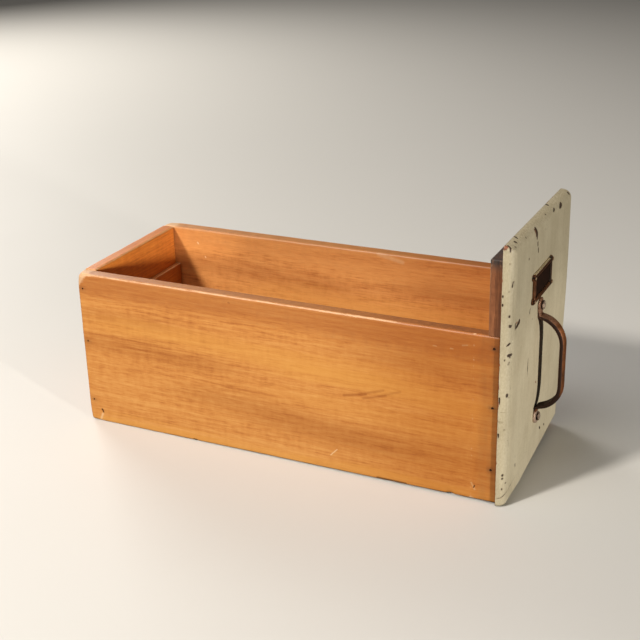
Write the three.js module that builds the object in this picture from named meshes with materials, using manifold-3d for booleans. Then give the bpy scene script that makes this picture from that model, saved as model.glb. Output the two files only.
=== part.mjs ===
// A single wooden filing drawer: two nailed side boards, a back board, a panel bottom,
// and a tall painted front with a strap pull and a framed label card.
// Millimetres, +Z up. The front faces -Y, its left end as seen from the front is at -X.

import * as THREE from 'three';
import { mergeVertices } from 'three/addons/utils/BufferGeometryUtils.js';
import Module from 'manifold-3d';

const wasm = await Module();
wasm.setup();

// Box of the drawer
const BOX_LENGTH = 400;
const BOX_WIDTH = 161;
const SIDE_HEIGHT = 148;
const SIDE_LIFT = 2;
const SIDE_THICKNESS = 12.5;
const BACK_THICKNESS = 12.5;
const TOP_EDGE_RADIUS = 2.2;
const BOTTOM_EDGE_RADIUS = 1;
const REAR_TOP_RADIUS = 4;
const REAR_BOTTOM_RADIUS = 2.5;

// Bottom panel and the groove that carries it
const PANEL_THICKNESS = 6;
const GROOVE_DEPTH = 5;
const GROOVE_HEIGHT_ABOVE_EDGE = 6;

// Thin board laid against the inside of the back
const LINER_THICKNESS = 5;
const LINER_HEIGHT = 97.5;
const LINER_EDGE_RADIUS = 0.8;

// Front board: a lip that stands proud, and a tongue behind it that the sides are nailed to
const FRONT_HEIGHT = 225.5;
const LIP_THICKNESS = 9.5;
const LIP_OVERHANG = 2.5;
const LIP_ROUND = 8.5;
const LIP_CORNER_RADIUS = 3;
const TONGUE_THICKNESS = 10.5;
const TONGUE_TOP_DROP = 12;

// Strap pull
const PULL_OFFSET = -6.5;
const PULL_HEIGHT_SHARE = 0.447;
const PULL_SCREW_SPACING = 102;
const PULL_CLEAR_DEPTH = 20.2;
const STRAP_WIDTH = 9;
const STRAP_THICKNESS = 3.3;
const STRAP_EDGE = 1.2;
const STRAP_GRIP_LENGTH = 37;
const BEND_RADIUS = 22;
const NECK_RADIUS = 3;
const NECK_ANGLE = THREE.MathUtils.degToRad(66);
const FOOT_RADIUS = 6.5;
const FOOT_THICKNESS = 2.2;
const FOOT_BEVEL = 0.6;

// Round-head slotted screws of the pull
const SCREW_HEAD_RADIUS = 4.2;
const SCREW_HEAD_HEIGHT = 2.4;
const SCREW_SHANK_RADIUS = 1.9;
const SCREW_DEPTH = 14;
const SCREW_SLOT_WIDTH = 1;
const SCREW_SLOT_DEPTH = 1.1;

// Label holder
const LABEL_OFFSET = -5.5;
const LABEL_WIDTH = 50.8;
const LABEL_HEIGHT = 25.4;
const LABEL_GAP_ABOVE_PULL = 2.2;
const LABEL_RIM_WIDTH = 4.2;
const LABEL_RIM_HEIGHT = 2.2;
const LABEL_BEAD_BEVEL = 0.7;
const LABEL_EAR_RADIUS = 2.9;
const LABEL_EAR_THICKNESS = 1.6;
const LABEL_EAR_OVERHANG = 2.8;
const LABEL_EAR_RISE = 0.3;
const LABEL_CARD_THICKNESS = 0.6;
const LABEL_CARD_OVERLAP = 1;

// Escutcheon pins of the label holder
const PIN_HEAD_RADIUS = 1.7;
const PIN_HEAD_HEIGHT = 1;
const PIN_SHANK_RADIUS = 0.7;
const PIN_DEPTH = 7;

// Nails through the side boards, with their places up the board as shares of its height
const NAIL_HEAD_RADIUS = 1.6;
const NAIL_HEAD_HEIGHT = 1;
const NAIL_SHANK_RADIUS = 0.9;
const NAIL_LENGTH = 32;
const NAIL_SINK = 0.6;
const NAIL_INSET_FROM_REAR = 5;
const FRONT_NAIL_HEIGHT_SHARES = [0.2, 0.58, 0.93];
const REAR_NAIL_HEIGHT_SHARES = [0.145, 0.55, 0.9];

// Fits
const JOINT_CLEARANCE = 0.3;
const CUT_OVERRUN = 5;

// Smoothness of round stretches
const EDGE_STEPS = 4;
const ROUND_STEPS = 16;
const LIP_STEPS = 6;
const STRAP_STEPS = 44;

// Sizes that follow from the ones above
const HALF_BOX = BOX_WIDTH / 2;
const HALF_INSIDE = HALF_BOX - SIDE_THICKNESS;
const FRONT_WIDTH = BOX_WIDTH + 2 * LIP_OVERHANG;
const FACE_Y = -LIP_THICKNESS;
const TONGUE_TOP = FRONT_HEIGHT - TONGUE_TOP_DROP;
const SIDE_TOP = SIDE_LIFT + SIDE_HEIGHT;
const REAR_INSIDE_Y = BOX_LENGTH - BACK_THICKNESS;
const GROOVE_FLOOR = SIDE_LIFT + GROOVE_HEIGHT_ABOVE_EDGE;
const PANEL_FLOOR = GROOVE_FLOOR + JOINT_CLEARANCE;
const PANEL_TOP = PANEL_FLOOR + PANEL_THICKNESS;
const GROOVE_TOP = PANEL_TOP + JOINT_CLEARANCE;
const PULL_CENTRE = FRONT_HEIGHT * PULL_HEIGHT_SHARE;
const PULL_TOP = PULL_CENTRE + PULL_SCREW_SPACING / 2 + FOOT_RADIUS;
const LABEL_CENTRE = PULL_TOP + LABEL_GAP_ABOVE_PULL + LABEL_HEIGHT / 2;
const PULL_REACH = JOINT_CLEARANCE + PULL_CLEAR_DEPTH + STRAP_THICKNESS;
const DRAWER_CENTRE_Y = (BOX_LENGTH - LIP_THICKNESS - PULL_REACH) / 2;

// Geometry helpers

function solidOf(geometry) {
  const plain = geometry.clone();
  plain.deleteAttribute('normal');
  plain.deleteAttribute('uv');
  const merged = mergeVertices(plain);
  return new wasm.Manifold(new wasm.Mesh({
    numProp: 3,
    vertProperties: Float32Array.from(merged.attributes.position.array),
    triVerts: Uint32Array.from(merged.index.array),
  }));
}

function geometryOf(solid) {
  const mesh = solid.getMesh();
  const geometry = new THREE.BufferGeometry();
  geometry.setAttribute('position', new THREE.BufferAttribute(mesh.vertProperties, 3));
  geometry.setIndex(new THREE.BufferAttribute(mesh.triVerts, 1));
  geometry.computeVertexNormals();
  return geometry;
}

function extrude(shape, depth, options = {}) {
  return new THREE.ExtrudeGeometry(shape, {
    depth, bevelEnabled: false, curveSegments: EDGE_STEPS, ...options,
  });
}

// An outline in X and Z, swept from plane y towards the front by depth.
function sweptForward(geometry, y) {
  return geometry.rotateX(Math.PI / 2).translate(0, y, 0);
}

// An outline in Y and Z, swept along +X from x.
function sweptAcross(geometry, x) {
  const turn = new THREE.Matrix4().makeBasis(
    new THREE.Vector3(0, 1, 0), new THREE.Vector3(0, 0, 1), new THREE.Vector3(1, 0, 0));
  return geometry.applyMatrix4(turn).translate(x, 0, 0);
}

function boxBetween(low, high) {
  const size = high.map((value, axis) => value - low[axis]);
  const centre = high.map((value, axis) => (value + low[axis]) / 2);
  return solidOf(new THREE.BoxGeometry(...size).translate(...centre));
}

// A rectangle from (x0, y0) to (x1, y1) with a radius at each corner,
// counted from the lower left, anticlockwise.
function roundedRectangle(x0, y0, x1, y1, [lowLeft, lowRight, topRight, topLeft]) {
  const shape = new THREE.Shape();
  const quarter = Math.PI / 2;
  const corner = (x, y, radius, start) => {
    if (radius > 0) {
      shape.absarc(x, y, radius, start, start + quarter, false);
    } else {
      shape.lineTo(x, y);
    }
  };
  shape.moveTo(x0, y0 + lowLeft);
  corner(x0 + lowLeft, y0 + lowLeft, lowLeft, 2 * quarter);
  corner(x1 - lowRight, y0 + lowRight, lowRight, 3 * quarter);
  corner(x1 - topRight, y1 - topRight, topRight, 0);
  corner(x0 + topLeft, y1 - topLeft, topLeft, quarter);
  shape.closePath();
  return shape;
}

// A fastener about the Y axis: its head on the -Y side of the origin, its shank towards +Y.
function fastenerOutline({ headRadius, headHeight, shankRadius, depth }) {
  const outline = [];
  for (let step = 0; step < EDGE_STEPS; step += 1) {
    const angle = (step / EDGE_STEPS) * (Math.PI / 2);
    outline.push(new THREE.Vector2(headRadius * Math.sin(angle), -headHeight * Math.cos(angle)));
  }
  outline.push(new THREE.Vector2(headRadius, 0));
  outline.push(new THREE.Vector2(shankRadius, 0));
  outline.push(new THREE.Vector2(shankRadius, depth - shankRadius));
  outline.push(new THREE.Vector2(0, depth));
  return outline;
}

// The far end of a shank's hole.
function holeEnd({ shankRadius, depth }) {
  const narrow = shankRadius + JOINT_CLEARANCE;
  return [
    new THREE.Vector2(narrow, depth - shankRadius + JOINT_CLEARANCE),
    new THREE.Vector2(0, depth + JOINT_CLEARANCE),
  ];
}

// A hole for the shank alone, open towards -Y.
function straightHole(fastener) {
  const narrow = fastener.shankRadius + JOINT_CLEARANCE;
  const mouth = -fastener.headHeight - CUT_OVERRUN;
  return [new THREE.Vector2(0, mouth), new THREE.Vector2(narrow, mouth), ...holeEnd(fastener)];
}

// A hole for the shank and the sunk head, open towards -Y.
function steppedHole(fastener) {
  const narrow = fastener.shankRadius + JOINT_CLEARANCE;
  const wide = fastener.headRadius + JOINT_CLEARANCE;
  const mouth = -fastener.headHeight - CUT_OVERRUN;
  return [
    new THREE.Vector2(0, mouth),
    new THREE.Vector2(wide, mouth),
    new THREE.Vector2(wide, JOINT_CLEARANCE),
    new THREE.Vector2(narrow, JOINT_CLEARANCE),
    ...holeEnd(fastener),
  ];
}

function turned(outline) {
  return solidOf(new THREE.LatheGeometry(outline, ROUND_STEPS));
}

// Fasteners

const NAIL = {
  headRadius: NAIL_HEAD_RADIUS,
  headHeight: NAIL_HEAD_HEIGHT,
  shankRadius: NAIL_SHANK_RADIUS,
  depth: NAIL_LENGTH,
};
const SCREW = {
  headRadius: SCREW_HEAD_RADIUS,
  headHeight: SCREW_HEAD_HEIGHT,
  shankRadius: SCREW_SHANK_RADIUS,
  depth: SCREW_DEPTH,
};
const PIN = {
  headRadius: PIN_HEAD_RADIUS,
  headHeight: PIN_HEAD_HEIGHT,
  shankRadius: PIN_SHANK_RADIUS,
  depth: PIN_DEPTH,
};

const NAIL_SEAT_X = HALF_BOX - NAIL_SINK - NAIL_HEAD_HEIGHT;
const FRONT_NAIL_Y = TONGUE_THICKNESS / 2;
const REAR_NAIL_Y = BOX_LENGTH - NAIL_INSET_FROM_REAR;
const SCREW_SEAT_Y = FACE_Y - FOOT_THICKNESS - 2 * JOINT_CLEARANCE;
const PIN_SEAT_Y = FACE_Y - LABEL_EAR_THICKNESS - 2 * JOINT_CLEARANCE;

function nailPlaces() {
  const places = [];
  const rows = [
    { end: 'front', y: FRONT_NAIL_Y, shares: FRONT_NAIL_HEIGHT_SHARES },
    { end: 'back', y: REAR_NAIL_Y, shares: REAR_NAIL_HEIGHT_SHARES },
  ];
  for (const { end, y, shares } of rows) {
    for (const side of [-1, 1]) {
      shares.forEach((share, index) => {
        places.push({ end, side, number: index + 1, y, z: SIDE_LIFT + SIDE_HEIGHT * share });
      });
    }
  }
  return places;
}

function nailHole({ side, y, z }) {
  const tool = new THREE.LatheGeometry(steppedHole(NAIL), ROUND_STEPS);
  return solidOf(tool.rotateZ(side * Math.PI / 2).translate(side * NAIL_SEAT_X, y, z));
}

function drillNails(solid, chosen) {
  return nailPlaces().filter(chosen).reduce((rest, place) => rest.subtract(nailHole(place)), solid);
}

function screwHeights() {
  return [PULL_CENTRE + PULL_SCREW_SPACING / 2, PULL_CENTRE - PULL_SCREW_SPACING / 2];
}

function pinPlaces() {
  const places = [];
  for (const up of [1, -1]) {
    for (const side of [-1, 1]) {
      places.push({
        x: LABEL_OFFSET + side * (LABEL_WIDTH / 2 + LABEL_EAR_OVERHANG - LABEL_EAR_RADIUS),
        z: LABEL_CENTRE + up * (LABEL_HEIGHT / 2 + LABEL_EAR_RISE - LABEL_EAR_RADIUS),
      });
    }
  }
  return places;
}

function fastenerHole(fastener, x, y, z) {
  const tool = new THREE.LatheGeometry(straightHole(fastener), ROUND_STEPS);
  return solidOf(tool.translate(x, y, z));
}

// Box boards

function sideBoard(side) {
  const outer = side * HALF_BOX;
  const inner = side * HALF_INSIDE;
  const section = roundedRectangle(
    Math.min(outer, inner), SIDE_LIFT, Math.max(outer, inner), SIDE_TOP,
    [BOTTOM_EDGE_RADIUS, BOTTOM_EDGE_RADIUS, TOP_EDGE_RADIUS, TOP_EDGE_RADIUS]);
  const length = BOX_LENGTH - JOINT_CLEARANCE;
  const board = solidOf(sweptForward(extrude(section, length), BOX_LENGTH));
  const elevation = roundedRectangle(-CUT_OVERRUN, SIDE_LIFT, BOX_LENGTH, SIDE_TOP,
    [0, REAR_BOTTOM_RADIUS, REAR_TOP_RADIUS, 0]);
  const span = SIDE_THICKNESS + 2 * CUT_OVERRUN;
  const shaping = solidOf(sweptAcross(extrude(elevation, span),
    Math.min(outer, inner) - CUT_OVERRUN));
  const grooveBottom = inner + side * GROOVE_DEPTH;
  const grooveMouth = inner - side * CUT_OVERRUN;
  const groove = boxBetween(
    [Math.min(grooveBottom, grooveMouth), -CUT_OVERRUN, GROOVE_FLOOR],
    [Math.max(grooveBottom, grooveMouth), REAR_INSIDE_Y + GROOVE_DEPTH, GROOVE_TOP]);
  return drillNails(board.intersect(shaping).subtract(groove), (place) => place.side === side);
}

function backBoard() {
  const section = roundedRectangle(REAR_INSIDE_Y, SIDE_LIFT, BOX_LENGTH, SIDE_TOP,
    [BOTTOM_EDGE_RADIUS, BOTTOM_EDGE_RADIUS, TOP_EDGE_RADIUS, TOP_EDGE_RADIUS]);
  const half = HALF_INSIDE - JOINT_CLEARANCE;
  const board = solidOf(sweptAcross(extrude(section, 2 * half), -half));
  const groove = boxBetween(
    [-HALF_BOX, REAR_INSIDE_Y - CUT_OVERRUN, GROOVE_FLOOR],
    [HALF_BOX, REAR_INSIDE_Y + GROOVE_DEPTH, GROOVE_TOP]);
  return drillNails(board.subtract(groove), (place) => place.end === 'back');
}

function backLiner() {
  const rear = REAR_INSIDE_Y - JOINT_CLEARANCE;
  const floor = PANEL_TOP + JOINT_CLEARANCE;
  const section = roundedRectangle(rear - LINER_THICKNESS, floor, rear, floor + LINER_HEIGHT,
    [0, 0, 0, LINER_EDGE_RADIUS]);
  const half = HALF_INSIDE - 2 * JOINT_CLEARANCE;
  return solidOf(sweptAcross(extrude(section, 2 * half), -half));
}

function bottomPanel() {
  const half = HALF_INSIDE + GROOVE_DEPTH - JOINT_CLEARANCE;
  const frontEnd = TONGUE_THICKNESS - GROOVE_DEPTH + JOINT_CLEARANCE;
  const rearEnd = REAR_INSIDE_Y + GROOVE_DEPTH - JOINT_CLEARANCE;
  return boxBetween([-half, frontEnd, PANEL_FLOOR], [half, rearEnd, PANEL_TOP]);
}

// Front board

function frontBoard() {
  const halfFront = FRONT_WIDTH / 2;
  const sharp = roundedRectangle(-halfFront, 0, halfFront, FRONT_HEIGHT, [0, 0, 0, 0]);
  const moulded = extrude(sharp, LIP_THICKNESS - LIP_ROUND, {
    bevelEnabled: true,
    bevelThickness: LIP_ROUND,
    bevelSize: LIP_ROUND,
    bevelOffset: -LIP_ROUND,
    bevelSegments: LIP_STEPS,
  });
  const outline = roundedRectangle(-halfFront, 0, halfFront, FRONT_HEIGHT,
    [LIP_CORNER_RADIUS, LIP_CORNER_RADIUS, LIP_CORNER_RADIUS, LIP_CORNER_RADIUS]);
  const blank = solidOf(sweptForward(extrude(outline, LIP_THICKNESS + CUT_OVERRUN), 0));
  const lip = solidOf(sweptForward(moulded, 0)).intersect(blank);
  const tongue = boxBetween([-HALF_BOX, -LIP_THICKNESS + LIP_ROUND, 0],
    [HALF_BOX, TONGUE_THICKNESS, TONGUE_TOP]);
  const notches = [-1, 1].map((side) => {
    const inner = side * (HALF_INSIDE - JOINT_CLEARANCE);
    const outer = side * (HALF_BOX + CUT_OVERRUN);
    return boxBetween([Math.min(inner, outer), 0, -CUT_OVERRUN],
      [Math.max(inner, outer), TONGUE_THICKNESS + CUT_OVERRUN, SIDE_TOP + JOINT_CLEARANCE]);
  });
  const groove = boxBetween([-HALF_BOX, TONGUE_THICKNESS - GROOVE_DEPTH, GROOVE_FLOOR],
    [HALF_BOX, TONGUE_THICKNESS + CUT_OVERRUN, GROOVE_TOP]);
  const board = notches.reduce((rest, notch) => rest.subtract(notch), lip.add(tongue));
  const nailed = drillNails(board.subtract(groove), (place) => place.end === 'front');
  const screwed = screwHeights().reduce(
    (rest, z) => rest.subtract(fastenerHole(SCREW, PULL_OFFSET, SCREW_SEAT_Y, z)), nailed);
  return pinPlaces().reduce(
    (rest, { x, z }) => rest.subtract(fastenerHole(PIN, x, PIN_SEAT_Y, z)), screwed);
}

// Strap pull

// The inner face line of the strap, seen along X: down from the upper foot, out from the
// front in a small bend, round into the straight grip, and back the same way below.
class StrapLine extends THREE.Curve {
  constructor() {
    super();
    const lean = 1 - Math.cos(NECK_ANGLE);
    const bends = (NECK_RADIUS + BEND_RADIUS) * lean;
    this.slope = Math.max(PULL_CLEAR_DEPTH - bends, 0) / Math.sin(NECK_ANGLE);
    this.seat = FACE_Y - JOINT_CLEARANCE;
    this.path = this.outline();
  }

  // Height of the neck above the middle of the pull.
  get neck() {
    const bends = (NECK_RADIUS + BEND_RADIUS) * Math.sin(NECK_ANGLE);
    return STRAP_GRIP_LENGTH / 2 + bends + this.slope * Math.cos(NECK_ANGLE);
  }

  outline() {
    const grip = this.seat - (NECK_RADIUS + BEND_RADIUS) * (1 - Math.cos(NECK_ANGLE))
      - this.slope * Math.sin(NECK_ANGLE);
    const path = new THREE.Path();
    path.moveTo(this.seat, this.neck + NECK_RADIUS / 2);
    path.absarc(this.seat - NECK_RADIUS, this.neck, NECK_RADIUS, 0, -NECK_ANGLE, true);
    path.absarc(grip + BEND_RADIUS, STRAP_GRIP_LENGTH / 2, BEND_RADIUS,
      Math.PI - NECK_ANGLE, Math.PI, false);
    path.absarc(grip + BEND_RADIUS, -STRAP_GRIP_LENGTH / 2, BEND_RADIUS,
      Math.PI, Math.PI + NECK_ANGLE, false);
    path.absarc(this.seat - NECK_RADIUS, -this.neck, NECK_RADIUS, NECK_ANGLE, 0, true);
    path.lineTo(this.seat, -this.neck - NECK_RADIUS / 2);
    return path;
  }

  getPoint(share, target = new THREE.Vector3()) {
    const point = this.path.getPoint(share);
    return target.set(0, point.x, point.y);
  }
}

// Half-oval bar section: flat on the hand's side, crowned outside.
function strapSection() {
  const half = STRAP_WIDTH / 2;
  const shape = new THREE.Shape();
  shape.moveTo(-half, 0);
  shape.lineTo(-half, -STRAP_EDGE);
  shape.absellipse(0, -STRAP_EDGE, half, STRAP_THICKNESS - STRAP_EDGE, Math.PI, 2 * Math.PI, false);
  shape.lineTo(half, 0);
  shape.closePath();
  return shape;
}

function pullFoot(up, neck) {
  const half = STRAP_WIDTH / 2;
  const screw = up * PULL_SCREW_SPACING / 2;
  const root = up * (neck - NECK_RADIUS / 2);
  const shape = new THREE.Shape();
  shape.moveTo(-up * half, root);
  shape.lineTo(up * half, root);
  shape.quadraticCurveTo(up * half, (screw + root) / 2, up * FOOT_RADIUS, screw);
  shape.absarc(0, screw, FOOT_RADIUS, up > 0 ? 0 : Math.PI, up > 0 ? Math.PI : 2 * Math.PI, false);
  shape.quadraticCurveTo(-up * half, (screw + root) / 2, -up * half, root);
  const plate = extrude(shape, FOOT_THICKNESS - FOOT_BEVEL, {
    bevelEnabled: true,
    bevelThickness: FOOT_BEVEL,
    bevelSize: FOOT_BEVEL,
    bevelOffset: -FOOT_BEVEL,
    bevelSegments: 2,
  });
  const seat = FACE_Y - JOINT_CLEARANCE;
  const blank = solidOf(sweptForward(plate, seat));
  return blank.intersect(boxBetween(
    [-2 * FOOT_RADIUS, seat - 2 * FOOT_THICKNESS, -PULL_SCREW_SPACING],
    [2 * FOOT_RADIUS, seat, PULL_SCREW_SPACING]));
}

function strapPull() {
  const line = new StrapLine();
  const bar = new THREE.ExtrudeGeometry(strapSection(), {
    steps: STRAP_STEPS, curveSegments: 2 * EDGE_STEPS, bevelEnabled: false, extrudePath: line,
  });
  const whole = solidOf(bar).add(pullFoot(1, line.neck)).add(pullFoot(-1, line.neck));
  const placed = whole.translate([PULL_OFFSET, 0, PULL_CENTRE]);
  return screwHeights().reduce(
    (rest, z) => rest.subtract(fastenerHole(SCREW, PULL_OFFSET, SCREW_SEAT_Y, z)), placed);
}

function pullScrew() {
  const slot = boxBetween(
    [-SCREW_HEAD_RADIUS - CUT_OVERRUN, -SCREW_HEAD_HEIGHT - CUT_OVERRUN, -SCREW_SLOT_WIDTH / 2],
    [SCREW_HEAD_RADIUS + CUT_OVERRUN, -SCREW_HEAD_HEIGHT + SCREW_SLOT_DEPTH, SCREW_SLOT_WIDTH / 2]);
  return turned(fastenerOutline(SCREW)).subtract(slot);
}

// Label holder

function labelRectangle(inset) {
  const halfWidth = LABEL_WIDTH / 2 - inset;
  const halfHeight = LABEL_HEIGHT / 2 - inset;
  return roundedRectangle(-halfWidth, -halfHeight, halfWidth, halfHeight, [0, 0, 0, 0]);
}

// Round pads at the corners, from plane y towards the front.
function cornerPads(y, thickness) {
  return pinPlaces().map(({ x, z }) => {
    const pad = new THREE.CylinderGeometry(
      LABEL_EAR_RADIUS, LABEL_EAR_RADIUS, thickness, ROUND_STEPS);
    return solidOf(pad.translate(x, y - thickness / 2, z));
  });
}

// A frame with a pocket behind it that is open to the right, where a card slides in.
function labelFrame() {
  const seat = FACE_Y - JOINT_CLEARANCE;
  const rim = extrude(labelRectangle(0), LABEL_RIM_HEIGHT - LABEL_BEAD_BEVEL, {
    bevelEnabled: true,
    bevelThickness: LABEL_BEAD_BEVEL,
    bevelSize: LABEL_BEAD_BEVEL,
    bevelOffset: -LABEL_BEAD_BEVEL,
    bevelSegments: 2,
  });
  const blank = solidOf(sweptForward(rim, seat));
  const front = boxBetween([-LABEL_WIDTH, seat - 2 * LABEL_RIM_HEIGHT, -LABEL_HEIGHT],
    [LABEL_WIDTH, seat, LABEL_HEIGHT]);
  const window = solidOf(sweptForward(
    extrude(labelRectangle(LABEL_RIM_WIDTH), 2 * LABEL_RIM_HEIGHT), seat + LABEL_RIM_HEIGHT / 2));
  const inset = LABEL_RIM_WIDTH - LABEL_CARD_OVERLAP;
  const pocketHalfHeight = LABEL_HEIGHT / 2 - inset;
  const pocket = boxBetween(
    [-LABEL_WIDTH / 2 + inset, seat - LABEL_CARD_THICKNESS - JOINT_CLEARANCE, -pocketHalfHeight],
    [LABEL_WIDTH / 2 + CUT_OVERRUN, seat + CUT_OVERRUN, pocketHalfHeight]);
  const bars = blank.intersect(front).subtract(window).translate([LABEL_OFFSET, 0, LABEL_CENTRE]);
  const cleared = cornerPads(seat - LABEL_EAR_THICKNESS, LABEL_RIM_HEIGHT)
    .reduce((rest, room) => rest.subtract(room), bars);
  const padded = cornerPads(seat, LABEL_EAR_THICKNESS)
    .reduce((rest, pad) => rest.add(pad), cleared);
  const open = padded.subtract(pocket.translate([LABEL_OFFSET, 0, LABEL_CENTRE]));
  return pinPlaces().reduce(
    (rest, { x, z }) => rest.subtract(fastenerHole(PIN, x, PIN_SEAT_Y, z)), open);
}

function labelCard() {
  const inset = LABEL_RIM_WIDTH - LABEL_CARD_OVERLAP + JOINT_CLEARANCE;
  const halfWidth = LABEL_WIDTH / 2 - inset;
  const halfHeight = LABEL_HEIGHT / 2 - inset;
  const rear = FACE_Y - JOINT_CLEARANCE;
  return boxBetween(
    [LABEL_OFFSET - halfWidth, rear - LABEL_CARD_THICKNESS, LABEL_CENTRE - halfHeight],
    [LABEL_OFFSET + halfWidth, rear, LABEL_CENTRE + halfHeight]);
}

// Finishes

const FINISHES = {
  sideWood: { color: 0xc07a3c, roughness: 0.5, metalness: 0 },
  innerWood: { color: 0xb56a2c, roughness: 0.45, metalness: 0 },
  panelWood: { color: 0xb98650, roughness: 0.6, metalness: 0 },
  paint: { color: 0xb3aa8a, roughness: 0.45, metalness: 0 },
  pullMetal: { color: 0x6b4330, roughness: 0.42, metalness: 0.85 },
  labelMetal: { color: 0x6a3c26, roughness: 0.45, metalness: 0.8 },
  screwMetal: { color: 0x9a8a72, roughness: 0.4, metalness: 0.7 },
  card: { color: 0x2e1f16, roughness: 0.7, metalness: 0 },
  nailMetal: { color: 0x2b211b, roughness: 0.7, metalness: 0.6 },
};

const drawer = new THREE.Group();
drawer.position.set(0, -DRAWER_CENTRE_Y, 0);

function addPiece(name, solid, finish) {
  const mesh = new THREE.Mesh(geometryOf(solid), new THREE.MeshStandardMaterial(finish));
  mesh.name = name;
  drawer.add(mesh);
  return mesh;
}

addPiece('left_side', sideBoard(-1), FINISHES.sideWood);
addPiece('right_side', sideBoard(1), FINISHES.sideWood);
addPiece('back_board', backBoard(), FINISHES.innerWood);
addPiece('back_liner', backLiner(), FINISHES.innerWood);
addPiece('bottom_panel', bottomPanel(), FINISHES.panelWood);
addPiece('front_board', frontBoard(), FINISHES.paint);
addPiece('strap_pull', strapPull(), FINISHES.pullMetal);
addPiece('label_frame', labelFrame(), FINISHES.labelMetal);
addPiece('label_card', labelCard(), FINISHES.card);

screwHeights().forEach((z, index) => {
  const screw = addPiece(`pull_screw_${index + 1}`, pullScrew(), FINISHES.screwMetal);
  screw.position.set(PULL_OFFSET, SCREW_SEAT_Y, z);
});

pinPlaces().forEach(({ x, z }, index) => {
  const pin = addPiece(`label_pin_${index + 1}`, turned(fastenerOutline(PIN)), FINISHES.labelMetal);
  pin.position.set(x, PIN_SEAT_Y, z);
});

for (const { end, side, number, y, z } of nailPlaces()) {
  const hand = side < 0 ? 'left' : 'right';
  const nail = addPiece(`nail_${end}_${hand}_${number}`, turned(fastenerOutline(NAIL)),
    FINISHES.nailMetal);
  nail.position.set(side * NAIL_SEAT_X, y, z);
  nail.rotation.z = side * Math.PI / 2;
}

export default drawer;
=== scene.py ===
"""A card catalog drawer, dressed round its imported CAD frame.

The drawer is an open box of honey-coloured boards behind a tall painted front, which carries a
strap pull and a small label holder. Sizes are in millimetres and become metres in the meshes.
"""

import logging
import math
from dataclasses import dataclass
from enum import Enum

import bmesh
import bpy
import numpy as np
from mathutils import Matrix, Vector, noise


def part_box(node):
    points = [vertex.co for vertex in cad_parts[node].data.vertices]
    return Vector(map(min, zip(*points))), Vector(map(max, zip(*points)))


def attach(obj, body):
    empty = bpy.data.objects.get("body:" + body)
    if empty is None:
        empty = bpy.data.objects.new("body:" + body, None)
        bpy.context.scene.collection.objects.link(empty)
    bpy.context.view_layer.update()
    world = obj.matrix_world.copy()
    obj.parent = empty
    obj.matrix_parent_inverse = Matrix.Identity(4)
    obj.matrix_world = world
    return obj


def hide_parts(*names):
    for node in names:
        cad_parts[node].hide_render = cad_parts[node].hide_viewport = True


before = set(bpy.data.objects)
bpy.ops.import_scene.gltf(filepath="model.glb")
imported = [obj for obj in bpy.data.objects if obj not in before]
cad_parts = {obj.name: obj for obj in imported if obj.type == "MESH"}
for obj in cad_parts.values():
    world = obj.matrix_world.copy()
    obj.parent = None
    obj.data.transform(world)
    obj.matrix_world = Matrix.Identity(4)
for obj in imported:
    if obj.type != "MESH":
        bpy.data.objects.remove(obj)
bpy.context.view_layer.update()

log = logging.getLogger("drawer")

MM = 0.001
BODY = "root"

Colour = tuple[float, float, float, float]
Span = tuple[float, float]
Place = tuple[float, float, float]
Piece = bpy.types.Object
Material = bpy.types.Material
Socket = bpy.types.NodeSocket
Tree = bpy.types.NodeTree

BOX_HALF = 80.5
REAR_END = 216.65
BOTTOM_GROOVE: Span = (8.0, 14.6)
GROOVE_DEPTH = 5.0
CUT_OVER = 4.0
GRADED_SHARE = 0.45
RUB_LIMIT = 1.5
GRIME_AND_SHADE_LIMIT = 1.3
SMALLEST = 1e-9


# Colours and plain numbers


def srgb(red: int, green: int, blue: int) -> Colour:
    """Turns a colour as seen on screen into Blender's linear one.

    Args:
        red: red, 0 to 255.
        green: green, 0 to 255.
        blue: blue, 0 to 255.

    Returns:
        The linear colour, opaque.
    """

    def linear(value: int) -> float:
        """One channel made linear."""
        share = value / 255
        return share / 12.92 if share <= 0.04045 else ((share + 0.055) / 1.055) ** 2.4

    return (linear(red), linear(green), linear(blue), 1.0)


def smooth(value: np.ndarray, start: float, end: float) -> np.ndarray:
    """Eases from 0 at start to 1 at end, which may be below start."""
    share = np.clip((value - start) / (end - start), 0.0, 1.0)
    return share * share * (3 - 2 * share)


def near(distance: np.ndarray, reach: float) -> np.ndarray:
    """Falls from 1 at no distance to about a third at the reach, and on towards 0."""
    return np.exp(-(distance / reach) ** 2)


def grain_noise(points: np.ndarray, wavelengths: Place, seed: float) -> np.ndarray:
    """Smooth noise for shapes and wear, about -1 to 1, at places in millimetres."""
    scaled = points / np.array(wavelengths) + seed
    return np.array([noise.noise(row) for row in scaled.tolist()])


def node_box(name: str) -> tuple[np.ndarray, np.ndarray]:
    """Lowest and highest corner of a CAD node, in millimetres."""
    low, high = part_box(name)
    return np.array(low) / MM, np.array(high) / MM


# Meshes


def mesh_object(name: str, points: np.ndarray, faces: list | np.ndarray) -> Piece:
    """Makes an object with its place in its mesh.

    Args:
        name: the object's name.
        points: vertices in millimetres.
        faces: corner numbers of each face.

    Returns:
        The new object, linked into the scene.
    """
    mesh = bpy.data.meshes.new(name)
    mesh.from_pydata((np.asarray(points) * MM).tolist(), [], [list(face) for face in faces])
    mesh.update()
    made = bpy.data.objects.new(name, mesh)
    bpy.context.scene.collection.objects.link(made)
    return made


def line_object(name: str, points: np.ndarray, closed: bool = False) -> Piece:
    """Makes an object that holds one line of edges.

    Args:
        name: the object's name.
        points: places along the line, in millimetres.
        closed: whether the last place is joined to the first.

    Returns:
        The new object.
    """
    made = mesh_object(name, points, [])
    starts = np.arange(len(points) if closed else len(points) - 1)
    made.data.edges.add(len(starts))
    made.data.edges.foreach_set("vertices", np.stack(
        [starts, (starts + 1) % len(points)], axis=1).ravel())
    return made


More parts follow.
